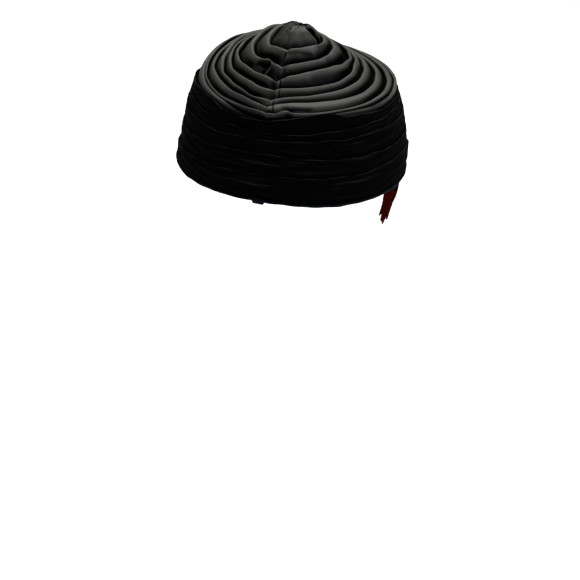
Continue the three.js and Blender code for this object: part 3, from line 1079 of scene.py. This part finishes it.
    def cap(self, wrap: Wrap, edge: Array, depth: Array) -> None:
        """Adds the cap inside the last pleat, up to the gathered tip.

        Args:
            wrap: The sheet to add rows to.
            edge: Share where the last groove ends.
            depth: Depth of that groove.
        """
        angle, turn = self.angle, np.radians(self.angle)
        side = within((10.0, 60.0, 120.0, 165.0), angle)
        for t in self.cap_stops:
            share = edge * (1 - t)
            inward = (edge - share) * BROW.at(angle)
            radius, _ = self.slope(share)
            near = np.exp(-((radius / self.gather_reach) ** 2)) * np.minimum(radius / 4, 1)
            gather = sum(g.size * np.sin(turn * g.count + g.phase) * near for g in self.gathers)
            wave = self.cap_ripple.at(angle) * min(4 * t, 1) * np.minimum(radius / 10, 1)
            dimple = -self.dimple_depth * (1 - np.minimum(radius / self.dimple_radius, 1)) ** 2
            dome = self.dome_height * np.exp(-(((radius - self.dimple_radius) / self.dome_width) ** 2)) * side
            groove = depth * np.exp(-((inward / self.groove_width) ** 1.6))
            off = -groove + gather + wave + dimple + dome
            radius, height = self.point(share, off * min(1.0, 12 * (1 - t)))
            if t == 1:
                radius, height = 0.0, float(height.mean())
            # Painted shade in the groove at the cap's edge.
            wrap.add(radius, height, hollow=max(0.0, 1 - 7 * t))

    def build(self, material: Material) -> Piece:
        """Builds the crown as one shell, pleats outside and a plain lining inside.

        Args:
            material: The satin.

        Returns:
            The piece.
        """
        wrap, angle = Wrap(self.angle), self.angle
        skirt, bottom = self.skirt * BROW.at(angle), self.lap_bottom
        lining, deep = skirt - self.wall, self.deepest_groove + self.wall
        wrap.add(0.0, CROWN_SLOPE[0].height - deep - self.tip_drop)
        for share in self.lining_shares:
            wrap.add(*self.point(np.full_like(angle, share), -deep))
        wrap.add(lining - 0.6, 61.5)
        wrap.add(lining, 58.0)
        wrap.add(lining, bottom + self.chamfer)
        wrap.add(lining + self.chamfer, bottom)
        wrap.add(skirt - self.chamfer, bottom)
        first = len(wrap.radius)
        wrap.add(skirt, bottom + self.chamfer)
        edge, depth = np.full_like(angle, self.outer_share), np.zeros_like(angle)
        for k in range(len(SATIN_FOLDS)):
            edge, depth = self.pleat(wrap, k, edge, depth)
        self.cap(wrap, edge, depth)
        points = wrap.points()
        self.crease(wrap, points, first)
        piece = wrap.cloth("satin_crown_cloth", points)
        dress(piece, material)
        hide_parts("satin_crown")
        return piece

    def crease(self, wrap: Wrap, points: Array, first: int) -> None:
        """Presses the seam's strut, the pinches and the tip's gathers into the outer rows, and paints the
        creases' highlights and shade and the tints' cool shade into the marks.

        Args:
            wrap: The sheet, whose marks are changed.
            points: The sheet's points, which are moved.
            first: The first outer row.
        """
        turn = np.radians(self.angle)
        normal = np.stack([np.sin(turn) * 0.45, -np.cos(turn) * 0.45, np.full_like(turn, 0.89)], axis=-1)
        outer = points[first:]
        weights = [(c, weight_near(outer, c)) for c in SATIN_CREASES]
        # The tints' cool painted shade, weaker on the painted highlights.
        tone = np.max([weight_near(outer, tint) * tint.share for tint in SATIN_TINTS], axis=0)
        wrap.marks["rib"] = [within((0.0, 14.0, 60.0, 110.0), -self.angle) + 0.25] * len(points)
        for row in range(len(outer)):
            ridge, hollow = wrap.marks["ridge"][first + row], wrap.marks["hollow"][first + row]
            wrap.marks["tone"][first + row] = tone[row] * (1 - 0.75 * ridge)
            for c, weight in weights:
                # A crease with lit above 0 paints highlight; below 0 it paints shade.
                bright, dark = np.clip((c.lit * weight[row], -c.lit * weight[row]), 0, 1)
                np.maximum(ridge, bright, out=ridge)
                np.maximum(hollow, dark, out=hollow)
                hollow -= hollow * bright
        outer += normal[None] * sum(c.rise * weight for c, weight in weights)[..., None]
        outer[-1] = outer[-1].mean(0)


VELVET_TUCKS = (
    Tuck(
        Round(16.4, 13.5, 13.5, 20.1, 24.6, 21.8, 22, 19.3),
        Round(91.7, 90.7, 90.7, 91.2, 91.7, 92.4, 93, 92.6),
    ),
    Tuck(
        Round(32.8, 32, 32, 36.1, 40.7, 35.2, 32.8, 31.8),
        Round(88.8, 87.8, 87.8, 88.7, 89.5, 90.3, 91.2, 90),
    ),
    Tuck(
        Round(48.3, 48.3, 49.2, 49.2, 50.5, 50.9, 48.3, 46.3),
        Round(86, 85.2, 85.2, 86, 86.7, 87.2, 87.8, 87),
    ),
    Tuck(
        Round(57.5, 57, 60, 58.3, 55.5, 56.9, 57.5, 56.5),
        Round(83.2, 82, 81.9, 83, 84, 84.2, 84.8, 84.2),
    ),
    Tuck(
        Round(65, 65, 66.8, 70.6, 64.4, 67.1, 65.1, 64.2),
        Round(81, 79.6, 79.6, 80.3, 81.6, 82.2, 83, 82.5),
    ),
)
BROW_BENDS = (
    Bend(68, 20, 0, -2.4), Bend(27, 15, -2.4, 4.2), Bend(-22, 13, 0.2, -3.2), Bend(114, 20, -0.6, -3.4),
)
CRUSHED_PATCHES = (
    CrushedPatch(35, 49, 45, 5, 1.0),
    CrushedPatch(28, 33, 38, 4, 0.9),
    CrushedPatch(22, 15, 40, 3.5, 0.7),
    CrushedPatch(-22, 24, 22, 4, 0.5),
    CrushedPatch(-75, 55, 25, 10, 0.6),
    CrushedPatch(95, 50, 25, 12, 0.6),
    CrushedPatch(-10, 38, 12, 3, 0.6),
)
RIM_HEIGHT = Round(0.3, 0.2, -0.9, 0.1, 1.1, -3.2, -4.0, -2.0)
RIM_RADIUS = Round(91.7, 92.8, 93.4, 92.3, 90.7, 92.2, 93.9, 93.1)
CLOTH = 1.0
GAP = 0.3
RIM_WALL = 3.0
NECK_RINGS = (
    (0.0, 1.2), (0.3, 2.6), (1.2, 3.7), (2.4, 4.1), (3.6, 3.8), (4.6, 3.6), (5.4, 4.1), (6.6, 4.4),
    (7.8, 4.0), (9.0, 3.8), (10.0, 4.3), (11.2, 4.6), (12.6, 4.2), (14.0, 4.0), (15.5, 3.4),
)
LAMPS = (
    Lamp("behind", (0.0, 0.7, 1.3), (1.4, 1.0), 30, (1.0, 0.985, 0.94)),
    Lamp("right", (0.95, -0.15, 1.1), (1.0, 1.0), 11, (1.0, 0.99, 0.96)),
    Lamp("left", (-1.5, 0.2, 0.9), (1.2, 1.0), 7.5, (1.0, 0.98, 0.84)),
)


@dataclass
class VelvetBand:
    """The wall: five draped velvet tucks, one above the other."""

    wall: float = 2.4
    groove: float = 2.0
    bulge: float = 0.9
    lip: float = 0.55
    toe: float = 0.6
    turn_up: float = 7.0
    lap_gap: float = 0.4
    lap_shares: Stops = tuple(np.arange(1.01, 1.08, 0.005))
    least_wall: float = 1.3
    least_cover: float = 1.2
    fullness: float = 0.85
    lap_bottom: float = 54.0
    touch: float = 0.1
    face_span: Pair = (0.06, 0.97)
    face_rows: int = 15
    lip_turns: Stops = (0, 30, 60, 90, 120, 150)
    lit_turns: Pair = (20, 100)
    groove_stops: Stops = (0.3, 0.7, 1.0)
    height_ripple: Ripple = Ripple(0.35, 20, 5, 30)
    radius_ripple: Ripple = Ripple(0.2, 40, 4, 24)
    long_dents: Crush = Crush(0.3, 3, (3, 16), (5, 16))
    short_dents: Crush = Crush(0.13, 4, (10, 46), (2.2, 6))
    angle: Array = field(default_factory=lambda: angles_round(0.8, 0.8, 15.0, 15.0))

    def lap_radius(self, top: Array) -> Array:
        """Finds the band's inner radius where it covers the satin.

        Args:
            top: Height at each angle, below which the band stays clear of the crown.

        Returns:
            The radius at each angle.
        """
        crown = SatinCrown(angle=self.angle)
        radius, height = zip(*(crown.point(np.full_like(self.angle, s)) for s in self.lap_shares))
        first = np.argmax(np.array(height) <= top, axis=0)
        return np.array(radius)[first, np.arange(len(first))] + self.lap_gap

    def crushed_at(self, height: Array) -> Array:
        """Works out how crushed the pile is, which sets where its sheen is painted.

        Args:
            height: Height on the wall at each angle.

        Returns:
            The share at each angle, from 0 to 1.
        """
        total = np.zeros_like(height)
        for patch in CRUSHED_PATCHES:
            across, up = (self.angle - patch.angle) / patch.reach, (height - patch.height) / patch.tall
            total = np.maximum(total, patch.share * np.exp(-(across**2 + up**2)))
        return total

    def free_edge(self, k: int, bends: tuple[Bend, ...] = ()) -> Ring:
        """Reads a tuck's free edge.

        Args:
            k: The tuck's number, lowest first.
            bends: Local shifts of the edge, and its lifts.

        Returns:
            Radius and height.
        """
        angle, tuck = self.angle, VELVET_TUCKS[k]
        radius = tuck.radius.at(angle) + self.radius_ripple.at(angle, k)
        height = tuck.height.at(angle) + self.height_ripple.at(angle, k)
        shift = sum(b.shift * b.at(angle) for b in bends)
        lift = sum(b.lift * b.at(angle) for b in bends)
        return radius + shift, height + lift

    def tuck(self, wrap: Wrap, foot: Ring, edge: Ring, floor: Value = 0.0) -> None:
        """Adds one tuck: its bulging, dented face and the round lip of its free edge.

        Args:
            wrap: The sheet to add rows to.
            foot: Radius and height at the foot of the face.
            edge: Radius and height of the free edge.
            floor: The least radius of the face.
        """
        for t in np.linspace(*self.face_span, self.face_rows):
            height = mix(foot[1], edge[1] - 1.0, t)
            stand = self.bulge * 4 * t * (1 - t) * (1.15 - 0.3 * t)
            dent = self.long_dents.at(self.angle, height) + self.short_dents.at(self.angle, height)
            radius = mix(foot[0], edge[0], t**self.fullness) + stand + dent * np.sin(np.pi * t) ** 0.6
            # Painted shade at the face's foot.
            wrap.add(np.maximum(radius, floor), height, hollow=max(0.0, 1 - 9 * t))
            # The crushed pile's painted sheen.
            wrap.marks["tone"][-1] = self.crushed_at(height)
        for turn in self.lip_turns:
            over = np.radians(turn)
            radius = edge[0] - self.lip + self.lip * np.cos(over)
            height = edge[1] - self.lip + self.lip * np.sin(over)
            # The lip's upper side gets painted highlight.
            wrap.add(radius, height, ridge=1.0 if self.lit_turns[0] < turn < self.lit_turns[1] else 0.0)

    def build(self, material: Material) -> Piece:
        """Builds the wall as one closed ring of cloth.

        Args:
            material: The velvet.

        Returns:
            The piece.
        """
        wrap, angle, last = Wrap(self.angle), self.angle, len(VELVET_TUCKS) - 1
        rim_radius = RIM_RADIUS.at(angle) - CLOTH - GAP
        rim_height = RIM_HEIGHT.at(angle) + CLOTH + GAP
        lap = self.lap_radius(VELVET_TUCKS[last].height.at(angle))
        wrap.add(rim_radius - self.toe, rim_height)
        foot = (rim_radius, rim_height + 0.8)
        wrap.add(*foot)
        inside: list[Ring] = []
        for k in range(last):
            radius, height = self.free_edge(k)
            self.tuck(wrap, foot, (radius, height))
            for t in self.groove_stops:
                # Painted shade in the groove under each tuck's edge.
                wrap.add(radius - 1.6 - 0.1 * t, height - 0.8 - 1.1 * t, hollow=t)
            foot = (radius - self.groove - 0.1, height - 1.6)
            wrap.add(*foot, hollow=1.0)
            inner = np.maximum(radius - self.groove - self.wall, lap)
            inside.append((inner, np.minimum(height, self.lap_bottom - 1)))
        radius, height = self.free_edge(last, BROW_BENDS)
        under = np.minimum(lap, radius - self.least_wall)
        snug = np.minimum(SatinCrown.skirt * BROW.at(angle) + self.touch, under)
        self.tuck(wrap, foot, (radius, height), under + self.least_cover)
        wrap.add(under, height - 0.8)
        wrap.add(under, height - 3.0)
        wrap.add(snug, np.minimum(60.0, height - 3.6))
        wrap.add(snug, np.minimum(57.0, height - 4.4))
        for row in reversed(inside):
            wrap.add(*row)
        wrap.add(rim_radius - RIM_WALL, rim_height + self.turn_up)
        wrap.add(rim_radius - RIM_WALL, rim_height + 0.5)
        wrap.add(rim_radius - RIM_WALL + 0.4, rim_height)
        wrap.add(rim_radius - self.toe, rim_height)
        piece = wrap.cloth("velvet_band_cloth", wrap.points())
        dress(piece, material)
        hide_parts("velvet_band")
        return piece


@dataclass
class RimBinding:
    """The narrow binding that folds over the rim, with its lapped end at the back."""

    outside: float = 2.4
    inside: float = 7.0
    lap_window: Window = (-3.0, -2.2, 2.9, 3.5)
    lap_rise: float = 0.9
    lap_top: float = 0.81
    lap_droop: float = 1.5
    low_ripple: Ripple = Ripple(0.12, 5, 8, 40)
    out_ripple: Ripple = Ripple(0.1, 6, 8, 40)
    top_ripple: Ripple = Ripple(0.2, 8, 6, 30)
    angle: Array = field(default_factory=lambda: angles_round(1.2, 0.25, 12.0, 6.0))

    def build(self, material: Material) -> Piece:
        """Builds the binding as one closed ring of folded cloth.

        Args:
            material: The dark satin.

        Returns:
            The piece.
        """
        wrap, angle = Wrap(self.angle), self.angle
        radius, rim = RIM_RADIUS.at(angle), RIM_HEIGHT.at(angle)
        lapped = within(self.lap_window, angle)
        lap = self.lap_rise * lapped
        low = rim + self.low_ripple.at(angle) - self.lap_droop * lapped
        top = rim + self.outside + self.top_ripple.at(angle) + self.lap_top * lapped
        outer = radius + self.out_ripple.at(angle)
        inner = radius - 2 * (CLOTH + GAP) - RIM_WALL
        tuck_in, turn_up = rim + CLOTH, rim + self.inside
        rows = (
            (outer - 1.5, low + 0.02),
            (outer - 0.8 + 0.5 * lap, low + 0.05),
            (outer - 0.25 + lap, low + 0.3),
            (outer + lap, low + 0.75),
            (outer + 0.05 + lap, mix(low + 0.75, top, 0.5)),
            (outer - 0.1 + lap, top - 0.25),
            (outer - 0.35 + 0.6 * lap, top),
            (outer - 0.85, top - 0.1),
            (radius - CLOTH, rim + self.outside - 0.4),
            (radius - CLOTH, tuck_in),
            (inner + CLOTH, tuck_in),
            (inner + CLOTH, turn_up - 0.3),
            (inner + 0.7, turn_up),
            (inner + 0.3, turn_up),
            (inner, turn_up - 0.3),
            (inner, rim + 0.5),
            (inner + 0.4, rim + 0.05),
            (inner + 1.5, rim),
            (outer - 1.5, low + 0.02),
        )
        for row in rows:
            wrap.add(*row)
        piece = wrap.cloth("rim_binding_cloth", wrap.points())
        dress(piece, material)
        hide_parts("rim_binding")
        return piece


@dataclass
class Tassel:
    """The frayed red tassel: a wound neck and loose threads with ragged ends."""

    x: float = 81.6
    y: float = 42.0
    top: float = -12.5
    tip: float = -63.5
    lean: Pair = (0.2, 0.05)
    neck: float = 15.0
    neck_sides: int = 28
    threads: int = 130
    thread_radius: Pair = (0.5, 0.3)
    locks: int = 9
    lock_drift: float = 0.25
    lock_reach: Pair = (0.88, 1.02)
    longest_lock: int = 2
    longest_reach: float = 1.08
    lock_outs: Pair = (0.35, 0.85)
    own_way: float = 0.12
    sway: float = 0.2
    flatness: float = 0.85
    sides: int = 5
    rings: int = 10
    seed: int = 11

    def centre(self, depth: Array) -> Ring:
        """Returns the leaning middle line, across and along, at depths below the top."""
        return self.x - self.lean[0] * depth, self.y - self.lean[1] * depth

    def straight_tube(self, sides: int, rings: int) -> Piece:
        """Adds a cylinder of unit radius and length and cuts it into rings.

        Args:
            sides: Faces round the tube.
            rings: Rings of vertices along it, with both ends.

        Returns:
            The tube.
        """
        bpy.ops.object.select_all(action="DESELECT")
        bpy.ops.mesh.primitive_cylinder_add(vertices=sides, radius=1, depth=1)
        tube = bpy.context.active_object
        for edge in tube.data.edges:
            low, high = (tube.data.vertices[v].co.z for v in edge.vertices)
            edge.select = abs(low - high) > 0.5
        for part in (*tube.data.vertices, *tube.data.polygons):
            part.select = False
        bpy.ops.object.mode_set(mode="EDIT")
        bpy.context.tool_settings.mesh_select_mode = (False, True, False)
        bpy.ops.mesh.subdivide(number_cuts=rings - 2)
        bpy.ops.object.mode_set(mode="OBJECT")
        return tube

    def lay(self, tube: Piece, path: Array, radius: Array) -> Piece:
        """Bends a straight tube onto a path.

        Args:
            tube: The tube.
            path: Points in mm, one for each of its rings.
            radius: Radius in mm at each point.

        Returns:
            The tube.
        """
        flat = vertex_places(tube)
        ring = np.rint((0.5 - flat[:, 2]) * (len(path) - 1)).astype(int)
        flat[:, 2] = 0
        move_vertices(tube, path[ring] + flat * radius[ring, None])
        return tube

    def loose_threads(self) -> list[Piece]:
        """Makes the threads, each in one of the locks that they gather into.

        Returns:
            A tube for each thread.
        """
        draw = np.random.default_rng(self.seed)
        length = self.top - self.tip
        evenly = np.linspace(0, 2 * np.pi, self.locks, endpoint=False)
        bearings = evenly + draw.uniform(-self.lock_drift, self.lock_drift, self.locks)
        reaches = length * draw.uniform(*self.lock_reach, self.locks)
        reaches[self.longest_lock] = length * self.longest_reach
        outs = np.where(np.arange(self.locks) % 3 == 0, *self.lock_outs)
        t = np.linspace(0, 1, self.rings)
        loose = mix(3.0, 5.5, np.sin(np.pi * np.minimum(t + 0.12, 0.62))) * mix(1, 0.85, t)
        joined = smooth_step(0.35, 1.0, t)
        model = self.straight_tube(self.sides, self.rings)
        tubes = []
        for k in range(self.threads):
            lock = k % self.locks
            bearing = draw.uniform(0, 2 * np.pi)
            far = np.sqrt(draw.uniform(0.02, 1))
            depth = np.linspace(self.neck - 4, reaches[lock] * draw.uniform(0.95, 1.0), self.rings)
            drift = draw.uniform(-1, 1, 4)
            own, shared = (np.array([np.cos(a), np.sin(a)])[:, None] for a in (bearing, bearings[lock]))
            x_out, y_out = mix(far * own, outs[lock] * shared + self.own_way * own, joined) * loose
            sway = self.sway * np.sin(7 * t + 6 * drift[1]) * t
            swing = self.sway * np.sin(6 * t + 6 * drift[3]) * t
            across, along = self.centre(depth)
            x, y = across + x_out + sway, along + self.flatness * y_out + swing
            tube = model.copy()
            tube.data = model.data.copy()
            bpy.context.scene.collection.objects.link(tube)
            path = np.stack([x, y, self.top - depth], -1)
            tubes.append(self.lay(tube, path, mix(*self.thread_radius, t**2)))
        bpy.data.objects.remove(model)
        return tubes

    def wound_neck(self) -> Piece:
        """Makes the wound neck from its table of rings.

        Returns:
            The neck's tube.
        """
        depth, radius = np.array(NECK_RINGS).T
        across, along = self.centre(depth)
        path = np.stack([across, along, self.top - depth], -1)
        return self.lay(self.straight_tube(self.neck_sides, len(path)), path, radius)

    def build(self, material: Material) -> Piece:
        """Builds the tassel as one piece.

        Args:
            material: The thread.

        Returns:
            The piece.
        """
        tubes = [*self.loose_threads(), self.wound_neck()]
        bpy.ops.object.select_all(action="DESELECT")
        for tube in tubes:
            tube.select_set(True)
        bpy.context.view_layer.objects.active = tubes[-1]
        bpy.ops.object.join()
        piece = bpy.context.active_object
        piece.name = piece.data.name = "tassel_threads"
        sew_up(piece)
        dress(piece, material)
        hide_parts("tassel")
        return piece


@dataclass
class TasselStrap:
    """The plain strap that holds the tassel: down the outside of the wall and in under the rim."""

    angle: float = 116.5
    top: float = 11.0
    width: float = 9.0
    thick: float = 1.0
    soft_edge: float = 0.2
    bend: float = -5.4
    end: float = -12.2
    rows: int = 34
    columns: int = 9
    narrow_rows: Pair = (20, 33)
    narrowing: float = 0.45
    off_wall: float = 0.9
    passes: int = 3

    def line(self, face: float, hang: float) -> Array:
        """Draws the strap's smooth bend.

        Args:
            face: How far out it hangs on the wall, in mm.
            hang: How far out the tassel's head is.

        Returns:
            Distance out and height at each row.
        """
        down = [(face, height) for height in (self.top, 7.0, 3.0, 0.0)]
        turned = [(face - 0.1, self.bend + 0.6), (face - 0.9, self.bend - 1.2)]
        across = [(mix(face, hang, t), mix(self.bend, self.end, u)) for t, u in ((0.35, 0.38), (0.68, 0.68))]
        into = [(hang + 0.3, self.end + 1.6), (hang, self.end + 0.1)]
        control = np.array([*down, *turned, *across, *into])
        t = np.linspace(0, len(control) - 1, self.rows)
        line = np.stack([np.interp(t, np.arange(len(control)), control[:, k]) for k in (0, 1)], -1)
        for _ in range(self.passes):
            line[1:-1] = (line[:-2] + 2 * line[1:-1] + line[2:]) / 4
        return line

    def build(self, material: Material) -> Piece:
        """Builds the strap from a flat grid that gets its thickness at the end.

        Args:
            material: The tape.

        Returns:
            The piece.
        """
        turn = np.radians(self.angle)
        way = np.array([np.sin(turn), -LENGTH_TO_WIDTH * np.cos(turn), 0.0])
        stretch = np.linalg.norm(way)
        way = way / stretch
        up = np.array([0.0, 0.0, 1.0])
        at = np.array([self.angle])
        wall = max(RIM_RADIUS.at(at)[0], VELVET_TUCKS[0].radius.at(at)[0]) + self.off_wall + 2 * GAP
        line = self.line(wall * stretch + 0.6, float(np.hypot(Tassel.x, Tassel.y)))
        sides = np.linspace(-self.width / 2, self.width / 2, self.columns)
        piece, row, column = add_grid("tassel_strap_tape", self.rows, self.columns)
        narrow = 1 - self.narrowing * smooth_step(*self.narrow_rows, row.astype(float))
        off = (sides[column] * narrow)[:, None] * np.cross(up, way)
        move_vertices(piece, line[row, 0, None] * way + off + line[row, 1, None] * up)
        set_uvs(piece, np.stack([sides[column], lengths_along(line)[row]], -1))
        sew_up(piece)
        solid = piece.modifiers.new("thickness", "SOLIDIFY")
        solid.thickness, solid.offset = self.thick * MM, 0.0
        soft = piece.modifiers.new("soft_edges", "BEVEL")
        soft.width, soft.segments, soft.limit_method = self.soft_edge * MM, 2, "ANGLE"
        for name in ("thickness", "soft_edges"):
            bpy.ops.object.modifier_apply(modifier=name)
        sew_up(piece)
        dress(piece, material)
        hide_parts("tassel_strap")
        return piece


@dataclass
class Studio:
    """The camera at the photograph's angle, soft light and a pale floor."""

    place: Place = (316.2, -1250.4, 535.1)
    azimuth: float = 14.0
    pitch: float = 27.0
    roll: float = 2.9
    lens: float = 105.8
    sensor: float = 36.0
    clip: Pair = (0.05, 30)
    aim: Place = (0.0, 0.0, 0.07)
    sky: Colour = (0.9, 0.95, 1.0)
    sky_strength: float = 0.16
    floor: float = -300.0
    paper: float = 8.0

    def camera(self) -> None:
        """Sets the camera."""
        azimuth, pitch, roll = (np.radians(a) for a in (self.azimuth, self.pitch, self.roll))
        back = Vector((np.sin(azimuth) * np.cos(pitch), -np.cos(azimuth) * np.cos(pitch), np.sin(pitch)))
        right = Vector((np.cos(azimuth), np.sin(azimuth), 0))
        up = back.cross(right)
        across = np.cos(roll) * right + np.sin(roll) * up
        upward = -np.sin(roll) * right + np.cos(roll) * up
        data = bpy.data.cameras.new("camera")
        data.lens, data.sensor_width = self.lens, self.sensor
        data.clip_start, data.clip_end = self.clip
        camera = bpy.data.objects.new("camera", data)
        bpy.context.scene.collection.objects.link(camera)
        axes = Matrix((across, upward, back)).transposed()
        camera.matrix_world = Matrix.Translation(Vector(self.place) * MM) @ axes.to_4x4()
        bpy.context.scene.camera = camera

    def light(self, lamp: Lamp) -> None:
        """Adds a lamp.

        Args:
            lamp: The lamp.
        """
        data = bpy.data.lights.new(lamp.name, "AREA")
        data.shape, (data.size, data.size_y) = "RECTANGLE", lamp.size
        data.energy, data.color = lamp.power, lamp.colour
        made = bpy.data.objects.new(lamp.name, data)
        bpy.context.scene.collection.objects.link(made)
        place = Vector(lamp.place)
        turned = (Vector(self.aim) - place).to_track_quat("-Z", "Y").to_matrix().to_4x4()
        made.matrix_world = Matrix.Translation(place) @ turned

    def world(self) -> None:
        """Sets a white backdrop for the camera and a faint blue sky for everything else."""
        world = bpy.data.worlds.new("studio")
        bpy.context.scene.world = world
        world.use_nodes = True
        nodes, links = world.node_tree.nodes, world.node_tree.links
        seen, lit = nodes["Background"], nodes.new("ShaderNodeBackground")
        for node, colour, strength in ((seen, (1, 1, 1), 1.0), (lit, self.sky, self.sky_strength)):
            node.inputs["Color"].default_value = (*colour, 1)
            node.inputs["Strength"].default_value = strength
        path, both = nodes.new("ShaderNodeLightPath"), nodes.new("ShaderNodeMixShader")
        links.new(path.outputs["Is Camera Ray"], both.inputs["Fac"])
        links.new(lit.outputs["Background"], both.inputs[1])
        links.new(seen.outputs["Background"], both.inputs[2])
        links.new(both.outputs["Shader"], nodes["World Output"].inputs["Surface"])

    def build(self) -> None:
        """Sets the camera, the world, the lights, the floor and the way colours are shown."""
        self.camera()
        self.world()
        bpy.context.scene.view_settings.view_transform = "Standard"
        for lamp in LAMPS:
            self.light(lamp)
        bpy.ops.object.select_all(action="DESELECT")
        bpy.ops.mesh.primitive_plane_add(size=self.paper, location=(0, 0, self.floor * MM))
        floor = bpy.context.active_object
        floor.name = floor.data.name = "floor"
        bpy.ops.object.transform_apply(location=True, rotation=True, scale=True)
        floor.data.materials.append(FloorFinish().material())


def main() -> None:
    """Builds the studio and the hat's pieces in order."""
    logging.basicConfig(level=logging.INFO, format="%(name)s %(message)s")
    Studio().build()
    pieces = (
        SatinCrown().build(SatinFinish().material()),
        VelvetBand().build(VelvetFinish().material()),
        RimBinding().build(EdgeFinish().material()),
        Tassel().build(ThreadFinish().material()),
        TasselStrap().build(TapeFinish().material()),
    )
    for piece in pieces:
        LOG.info("%s: %d vertices", piece.name, len(piece.data.vertices))


if __name__ == "__main__":
    main()
